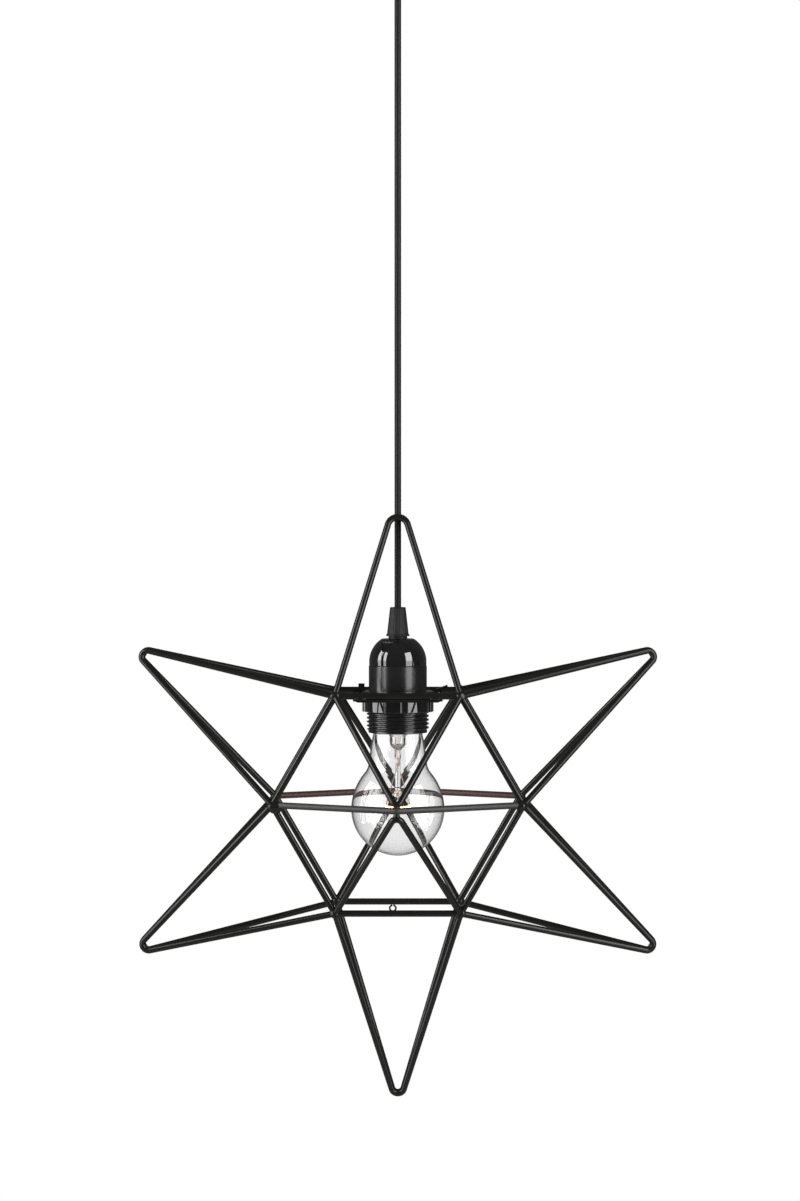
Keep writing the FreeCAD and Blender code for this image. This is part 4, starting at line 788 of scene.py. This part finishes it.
# Outside from the flare down past the bowl to the press's foot, then inside from the bowl's floor up again.
stem_outside = rounded([
    (FLARE_RADIUS, CAP_FOOT - 0.0002), (FLARE_THROAT, CAP_FOOT - 0.0012),
    (STEM_RADIUS, CAP_FOOT - FLARE_DROP), (STEM_RADIUS, -BOWL_DROP + 0.002), (PRESS_RADIUS, -BOWL_DROP),
    (PRESS_RADIUS, -PRESS_DROP), (PRESS_RADIUS - 0.0005, -PRESS_DROP - 0.0006)],
    [0.001, 0.0015, 0.0014, 0.0022, 0.0012, 0.0004, 0.0005], closed=False)
stem_inside = rounded([
    (0.0003, -BOWL_DROP + 0.0012), (STEM_RADIUS - STEM_WALL, -BOWL_DROP + 0.0026),
    (STEM_RADIUS - STEM_WALL, CAP_FOOT - FLARE_DROP), (FLARE_THROAT, CAP_FOOT - 0.0004),
    (FLARE_RADIUS, CAP_FOOT + 0.0004)], [0.0003, 0.0018, 0.0014, 0.001, 0.001], closed=False)
# The stem's glass is darkened much more, and over a wider band towards its edges: painted shade for its dark
# edges and streaks.
stem_glass = clear_glass.copy()
stem_glass.name = "stem_glass"
stem_glass.node_tree.nodes["Mix"].inputs[7].default_value = PAINTED_STEM_EDGE_SHADE
stem_glass.node_tree.nodes["Map Range"].inputs["From Min"].default_value = 0.30
stem = lathe("stem_flare", np.vstack([stem_outside, stem_inside]), level=TIP, sides=96)
dress(stem, stem_glass, "bulb", "clear_glass", "bulb_stem")

ROD_RADIUS = 0.0017
BUTTON_RADIUS = 0.0026
BUTTON_DROP = 0.0666
rod_levels = np.linspace(-PRESS_DROP - 0.0004, -BUTTON_DROP + BUTTON_RADIUS, 12)
rod_outline = np.vstack([
    [(0, -PRESS_DROP + 0.0007), (ROD_RADIUS - 0.0003, -PRESS_DROP + 0.0007),
     (ROD_RADIUS, -PRESS_DROP + 0.0004)],
    np.stack([np.full(12, ROD_RADIUS), rod_levels], 1),
    arc((0, -BUTTON_DROP), BUTTON_RADIUS, radians(42), -pi / 2, 20)])
rod_outline[-1, 0] = 0.0
button_glass = clear_glass.copy()
button_glass.name = "button_glass"
button_glass.node_tree.nodes["Mix"].inputs[6].default_value = BUTTON_TINT
rod = lathe("stem_rod_glass", rod_outline, level=TIP, sides=48)
rod.data.materials.append(stem_glass)
rod.data.materials.append(button_glass)
middles = np.zeros(len(rod.data.polygons) * 3)
rod.data.polygons.foreach_get("center", middles)
in_button = middles[2::3] < TIP - BUTTON_DROP + BUTTON_RADIUS
rod.data.polygons.foreach_set("material_index", in_button.astype(np.int32))
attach(rod, "bulb")
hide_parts("stem_rod")


def tube(name, path, radius, sides=12, flat=None, closed=False, crease=40.0):
    """Round wire along a path: at every point a circle square to the path, with its axes kept untwisted."""
    path = np.asarray(path, float)
    if closed:
        ahead = np.roll(path, -1, 0) - np.roll(path, 1, 0)
    else:
        ahead = np.gradient(path, axis=0)
    ahead /= np.linalg.norm(ahead, axis=1)[:, None]
    guide = np.asarray(flat if flat is not None else (0.0, 0.0, 1.0), float)
    across = np.cross(guide, ahead)
    across /= np.linalg.norm(across, axis=1)[:, None]
    lift = np.cross(ahead, across)
    turn = np.linspace(0, tau, sides, endpoint=False)
    ring = np.cos(turn)[None, :, None] * across[:, None, :] + np.sin(turn)[None, :, None] * lift[:, None, :]
    grid = path[:, None, :] + radius * ring
    if not closed:
        ends = [np.repeat(path[:1, None, :], sides, 1), np.repeat(path[-1:, None, :], sides, 1)]
        grid = np.concatenate([ends[0], grid, ends[1]], 0)
    return surface(name, grid, along=closed, crease=crease)


FILAMENT_DROP = 0.0746
FILAMENT_LEVEL = TIP - FILAMENT_DROP
FILAMENT_RADIUS = 0.0082
FILAMENT_SWEEP = radians(220)
COIL_RADIUS = 0.00034
COIL_WIRE = 0.00012
COIL_TURNS = 70
COIL_GLOW = 28.0
LEAD_RADIUS = 0.0003
SUPPORT_RADIUS = 0.0002
SUPPORT_SPREAD = 55

hot_wire = bpy.data.materials.new("hot_wire")
hot_wire.use_nodes = True
shader = hot_wire.node_tree.nodes["Principled BSDF"]
shader.inputs["Base Color"].default_value = (1.0, 0.5, 0.15, 1)
shader.inputs["Emission Color"].default_value = (1.0, 0.42, 0.10, 1)
shader.inputs["Emission Strength"].default_value = COIL_GLOW
bare_wire = finish_of("bare_wire", (0.50, 0.33, 0.24), (0.62, 0.44, 0.34), (0.25, 0.4),
                      fine=3000.0, metallic=1.0)

# Coil: a helix of COIL_TURNS turns about an arc that opens to the back of the bulb.
t = np.linspace(0, 1, COIL_TURNS * 10)
angle = -(pi + FILAMENT_SWEEP) / 2 + FILAMENT_SWEEP * t
wind = tau * COIL_TURNS * t
reach = FILAMENT_RADIUS + COIL_RADIUS * np.cos(wind)
coil_path = np.stack([reach * np.cos(angle), reach * np.sin(angle),
                      FILAMENT_LEVEL + COIL_RADIUS * np.sin(wind)], 1)
coil = tube("glowing_coil", coil_path, COIL_WIRE, sides=6)
dress(coil, hot_wire, "bulb", "filament", "filament")
coil.visible_glossy = False
coil.visible_diffuse = False


def bent_path(points, bend, steps=8):
    """Path through points with a parabolic bend at each inner one."""
    return rounded(points, bend, steps=steps, closed=False)


def joined(name, pieces):
    """Several made pieces as one mesh."""
    work = bmesh.new()
    for piece in pieces:
        work.from_mesh(piece.data)
        bpy.data.objects.remove(piece)
    mesh = bpy.data.meshes.new(name)
    work.to_mesh(mesh)
    work.free()
    result = bpy.data.objects.new(name, mesh)
    scene.collection.objects.link(result)
    return result


arc_ends = [(FILAMENT_RADIUS * cos(end), FILAMENT_RADIUS * sin(end)) for end in (angle[0], angle[-1])]
leads = []
# The leads cross below the press, one before the rod and one behind it, each to the far end of the coil.
for side, end in zip((1, -1), arc_ends):
    points = np.array([(side * 0.0019, -side * 0.0006, TIP - BOWL_DROP + 0.0080),
                       (side * 0.0009, -side * 0.0006, TIP - BOWL_DROP - 0.0008),
                       (side * 0.0011, -side * 0.0009, TIP - PRESS_DROP + 0.0006),
                       (side * 0.0007, -side * 0.0024, TIP - PRESS_DROP - 0.0018),
                       (end[0], end[1], FILAMENT_LEVEL + 0.0003)])
    path = bent_path(points, [0, 0.0015, 0.001, 0.0008, 0])
    leads.append(tube("lead", path, LEAD_RADIUS, sides=10, flat=(0, 1, 0)))
dress(joined("lead_pair", leads), bare_wire, "bulb", "lead_metal", "lead_wires")

supports = []
for aside in (-SUPPORT_SPREAD, 0, SUPPORT_SPREAD):
    a = radians(aside - 90)
    way = np.array([cos(a), sin(a), 0.0])
    hub = np.array([0, 0, TIP - BUTTON_DROP])
    knee = hub + way * FILAMENT_RADIUS * 0.8 - np.array([0, 0, 0.001])
    stop = way * FILAMENT_RADIUS + np.array([0, 0, FILAMENT_LEVEL + 0.0003])
    path = bent_path([hub + way * (BUTTON_RADIUS - 0.0004), knee, stop], 0.0008)
    supports.append(tube("support", path, SUPPORT_RADIUS, sides=8, flat=(-sin(a), cos(a), 0)))
dress(joined("support_set", supports), bare_wire, "bulb", "lead_metal", "support_wires")

# The bars mirror neither the clear glass nor the coil behind it, which would only sprinkle them with noise.
for name in ("bulb_envelope", "stem_flare", "stem_rod_glass"):
    bpy.data.objects[name].visible_glossy = False
    bpy.data.objects[name].visible_diffuse = False

# The lit coil is small, so a warm lamp at its centre carries its light to the glass and the bars.
WARM_POWER = 0.09
WARM_RADIUS = 0.012
WARM_FORWARD = 0.002
warm = bpy.data.lights.new("filament_light", "POINT")
warm.color = (1.0, 0.40, 0.22)
warm.energy = WARM_POWER
warm.shadow_soft_size = WARM_RADIUS
warm_lamp = bpy.data.objects.new("filament_light", warm)
warm_lamp.location = (0, -WARM_FORWARD, FILAMENT_LEVEL)
warm_lamp.visible_transmission = False
warm_lamp.visible_glossy = False
scene.collection.objects.link(warm_lamp)


# ----------------------------------------------------------------------------------------- star frame
# Round steel bar, bent in a jig, welded and powder coated black. Two hexagons stand front and rear of the
# bulb; twelve V's of bar make the six points, and six more the shallow front and rear pyramids.
BAR_RADIUS = 0.002
COAT = 0.0001
HEXAGON_RADIUS = 0.080
HALF_GAP = 0.033
SPOKE_REACH = 0.077
SPOKE_BEND = 0.0026
POINT_REACH = 0.1915
POINT_BEND = 0.004
TOP_REACH = 0.1845
TOP_BEND = 0.0066
WELD_GAP = 0.0001
CORD_GAP = 0.0004
RING_BEND = 0.003
# The front pyramid is bent by hand: its tip stands a little aside, and its lower V falls a little short.
FRONT_APEX_ASIDE = -0.0007
FRONT_LOWER_DROP = 0.0012
FRONT_LOWER_BEND = 0.0036
RING_FLAT = HEXAGON_RADIUS * cos(pi / 6)
BAR_SIDES = 20


def v_path(half_span, height, bend):
    """Two straight legs up from half_span to each side, tangent to a round bend whose crest is at height."""
    middle = height - bend
    distance = hypot(half_span, middle)
    lean = atan2(middle, half_span) + asin(bend / distance)
    leg = sqrt(distance ** 2 - bend ** 2)
    first = lean + pi / 2
    stretch = np.linspace(0, 1, 14)[:, None]
    up_leg = np.array([-half_span, 0]) + stretch * leg * np.array([cos(lean), sin(lean)])
    crest = arc((0, middle), bend, first, pi - first, 22)
    down_leg = up_leg[::-1] * np.array([-1, 1])
    return np.vstack([up_leg[:-1], crest, down_leg[1:]])


def about_y(points, angle):
    """Points turned clockwise, as seen from the front, about the star's own axis from front to rear."""
    x, y, z = points.T
    return np.stack([x * cos(angle) + z * sin(angle), y, z * cos(angle) - x * sin(angle)], 1)


def on_star(points, angle, rear):
    """Points of the front upright V turned to another direction, and to the rear, at the star's level."""
    if rear:
        points = points * np.array([-1, -1, 1])
    return about_y(points, angle) + np.array([0, 0, star_level])


def v_bar(name, half_span, height, bend, root, rise, angle, rear, aside=0.0):
    """Bar along a V path that stands on root, in the plane of X and rise, with its crest shifted aside."""
    flat = v_path(half_span, height, bend)
    shift = aside * (flat[:, 1:] / height)
    points = np.asarray(root) + (flat[:, :1] + shift) * np.array([1.0, 0, 0]) + flat[:, 1:] * np.asarray(rise)
    normal = np.cross([1.0, 0, 0], rise)
    normal = on_star(normal[None, :], angle, rear)[0] - np.array([0, 0, star_level])
    return tube(name, on_star(points, angle, rear), BAR_RADIUS + COAT, sides=BAR_SIDES, flat=normal)


for rear in (False, True):
    name = "rear" if rear else "front"
    corners = np.stack([np.cos(np.arange(6) * pi / 3) * HEXAGON_RADIUS, np.full(6, -HALF_GAP),
                        np.sin(np.arange(6) * pi / 3) * HEXAGON_RADIUS], 1)
    loop = on_star(rounded(corners, RING_BEND, steps=6), 0.0, rear)
    ring = tube(name + "_ring_bar", loop, BAR_RADIUS + COAT, sides=BAR_SIDES, flat=(0, 1, 0), closed=True)
    dress(ring, powder_coat, "star", "black_paint", name + "_hexagon")

POINTS = {"top": 0, "upper_right": 60, "lower_right": 120,
          "bottom": 180, "lower_left": 240, "upper_left": 300}
for point, degrees in POINTS.items():
    reach, bend, apart = ((TOP_REACH, TOP_BEND, CORD_DIAMETER / 2 + CORD_GAP) if point == "top"
                          else (POINT_REACH, POINT_BEND, WELD_GAP / 2))
    rise_z = reach - BAR_RADIUS - RING_FLAT
    rise_y = HALF_GAP - BAR_RADIUS - apart
    height = hypot(rise_z, rise_y)
    for rear in (False, True):
        side = "rear" if rear else "front"
        bar = v_bar("%s_%s_bar" % (side, point), HEXAGON_RADIUS / 2, height, bend, (0, -HALF_GAP, RING_FLAT),
                    np.array([0, rise_y, rise_z]) / height, radians(degrees), rear)
        dress(bar, powder_coat, "star", "black_paint", "%s_%s_point" % (side, point))

# The coat of the two cross bars is painted paler: grey on the front one, a painted sheen of the soft boxes;
# brown on the rear one, a painted glow of the lit coil.
painted_sheen_coat = finish_of("painted_sheen_coat", (0.030, 0.0295, 0.0285), (0.038, 0.0375, 0.036), (0.40, 0.48),
                        cloud=50.0, fine=1500.0, bump=0.000001, Specular_IOR_Level=0.4)
painted_glow_coat = finish_of("painted_glow_coat", (0.044, 0.028, 0.024), (0.052, 0.034, 0.030), (0.40, 0.48),
                        cloud=50.0, fine=1500.0, bump=0.000001, Specular_IOR_Level=0.3)
stack = 2 * BAR_RADIUS + WELD_GAP
depth = SPOKE_REACH - BAR_RADIUS - HALF_GAP
fall = RING_FLAT - stack
for rear in (False, True):
    side = "rear" if rear else "front"
    aside = 0.0 if rear else FRONT_APEX_ASIDE
    for name, degrees in (("upper", 0), ("lower", 180)):
        short = 0.0
        bend = SPOKE_BEND
        if (side, name) == ("front", "lower"):
            short = FRONT_LOWER_DROP
            bend = FRONT_LOWER_BEND
        height = hypot(depth, fall - short)
        rise = np.array([0, -depth, short - fall]) / height
        bar = v_bar("%s_%s_spoke_bar" % (side, name), HEXAGON_RADIUS / 2, height, bend,
                    (0, -HALF_GAP, RING_FLAT), rise, radians(degrees), rear,
                    aside=aside if degrees == 0 else -aside)
        dress(bar, powder_coat, "star", "black_paint", "%s_%s_spokes" % (side, name))
    bar = v_bar("%s_cross_spoke_bar" % side, HEXAGON_RADIUS, depth, SPOKE_BEND, (0, -HALF_GAP, 0), (0, -1, 0),
                0.0, rear, aside=aside)
    dress(bar, painted_glow_coat if rear else painted_sheen_coat, "star", "black_paint", "%s_cross_spokes" % side)


# ---------------------------------------------------------------------------------------------- welds
# Small fillets of weld, ground a little and coated over with the bars: one at each corner of the
# hexagons, one across the two bends of every point but the top, and one down the stack of bends at each
# pyramid's tip.
def weld_bead(name, centre, sizes, seed, turn=0.0):
    """Ball stretched to three half sizes, its radius rippled by a few low waves of its two angles."""
    polar = np.linspace(0, pi, 19)[:, None]
    around = np.linspace(0, tau, 28, endpoint=False)[None, :]
    ripple = 1 + 0.05 * np.sin(3 * around + seed) * np.sin(polar) ** 2 + 0.04 * np.cos(4 * polar + 1.7 * seed)
    ripple = ripple + 0.03 * np.sin(5 * around - 2.3 * seed) * np.sin(polar) ** 3
    x = sizes[0] * ripple * np.sin(polar) * np.cos(around)
    y = sizes[1] * ripple * np.sin(polar) * np.sin(around)
    z = sizes[2] * ripple * np.cos(polar) * np.ones_like(around)
    grid = about_y(np.stack([x, y, z], 2).reshape(-1, 3), turn).reshape(19, 28, 3) + np.asarray(centre)
    return surface(name, grid, along=False, crease=80)


# Where the cross bar meets the front hexagon the weld is heavier and laps over the bar's end. For the right
# and the left corner: place along the corner's radius, towards the front, and down, then three half sizes.
CROSS_WELDS = {0: (0.0785, 0.0012, 0.0004, (0.0042, 0.0036, 0.0037)),
               3: (0.0780, 0.0014, 0.0012, (0.0051, 0.0038, 0.0041))}
CORNER_BEAD = (0.0032, 0.0027, 0.0036)
POINT_BEAD = (0.0034, 0.0014, 0.0018)
TIP_BEAD = (0.0023, 0.0017, 0.0016)
TIP_BEAD_APART = 0.0021
TIP_BEAD_BACK = 0.0022
FRONT_TIP_BEAD_DROP = 0.0018
beads = []
for rear in (False, True):
    y = HALF_GAP if rear else -HALF_GAP
    for corner in range(6):
        angle = radians(60 * corner)
        inward, forward, low, sizes = HEXAGON_RADIUS, 0.0, 0.0, CORNER_BEAD
        if corner in (0, 3) and not rear:
            inward, forward, low, sizes = CROSS_WELDS[corner]
        centre = (inward * cos(angle), y - forward, star_level + inward * sin(angle) - low)
        beads.append(weld_bead("bead", centre, sizes, corner + 7 * rear, turn=-angle))
    tip = -1 if not rear else 1
    aside = 0.0 if rear else FRONT_APEX_ASIDE
    for half in (-1, 1):
        low = FRONT_TIP_BEAD_DROP if half < 0 and not rear else 0.0
        centre = (aside, tip * (SPOKE_REACH - TIP_BEAD_BACK), star_level + half * TIP_BEAD_APART - low)
        sizes = (TIP_BEAD[0], TIP_BEAD[1], TIP_BEAD[2] + low)
        beads.append(weld_bead("bead", centre, sizes, half + 3.3 * rear))
for point, degrees in POINTS.items():
    if point == "top":
        continue
    angle = radians(degrees)
    spot = POINT_REACH - BAR_RADIUS - 0.0008
    centre = (spot * sin(angle), 0.0, star_level + spot * cos(angle))
    beads.append(weld_bead("bead", centre, POINT_BEAD, degrees / 31, turn=angle))
dress(joined("weld_beads", beads), powder_coat, "star", "black_paint")


# --------------------------------------------------------------------------------------- socket plate
# Pressed steel plate welded under the two top bars, with a hole for the lamp holder's thread, turned-down
# lips and a bent-up lug and tab. It and the small domed screw beside the tab are coated with the frame.
paint_node("socket_plate", powder_coat)

SCREW_RADIUS = 0.0025
SCREW_RISE = 0.0024
SCREW_PLACE = (0.0244, 0.0094)
ball = (SCREW_RADIUS ** 2 + SCREW_RISE ** 2) / (2 * SCREW_RISE)
lowest = asin(1 - SCREW_RISE / ball)
dome_outline = np.vstack([arc((0, SCREW_RISE - ball), ball, pi / 2, lowest, 16), [(0, 0)]])
dome_outline[0, 0] = 0.0
dress(lathe("plate_screw_head", dome_outline, level=seat_level, sides=48, centre=SCREW_PLACE), powder_coat,
      "star", "black_paint", "plate_screw")

PLATE_BEAD = (0.0045, 0.0024, 0.0012)
PLATE_BEAD_ASIDE = 0.024
PLATE_BEAD_RISE = 0.0004
plate_beads = []
for rear in (-1, 1):
    for aside in (-PLATE_BEAD_ASIDE, PLATE_BEAD_ASIDE):
        centre = (aside, rear * HALF_GAP, seat_level + PLATE_BEAD_RISE)
        plate_beads.append(weld_bead("bead", centre, PLATE_BEAD, 40 * aside + rear))
dress(joined("plate_welds", plate_beads), powder_coat, "star", "black_paint")


# -------------------------------------------------------------------------------------------- eyelet
# A loop of thin wire under the rear bottom bar, bent round, drawn together at its ends and welded by both,
# for hanging an ornament.
EYELET_WIRE = 0.0006
EYELET_RADIUS = 0.0020
EYELET_OPENING = radians(60)
EYELET_NIP = 0.0004
EYELET_BITE = 0.0002
eyelet_low, eyelet_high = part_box("ornament_eyelet")
middle = (eyelet_low + eyelet_high) / 2
ring_level = eyelet_low.z + EYELET_RADIUS + EYELET_WIRE
angle = np.linspace(pi / 2 + EYELET_OPENING, pi / 2 + tau - EYELET_OPENING, 48)
eye = np.stack([middle.x + EYELET_RADIUS * np.cos(angle), np.full(48, middle.y),
                ring_level + EYELET_RADIUS * np.sin(angle)], 1)
ends = [(middle.x + aside, middle.y, eyelet_high.z - EYELET_BITE) for aside in (-EYELET_NIP, EYELET_NIP)]
eye = np.vstack([ends[:1], eye, ends[1:]])
dress(tube("eyelet_ring", eye, EYELET_WIRE, sides=12, flat=(0, 1, 0)), powder_coat, "star", "black_paint",
      "ornament_eyelet")
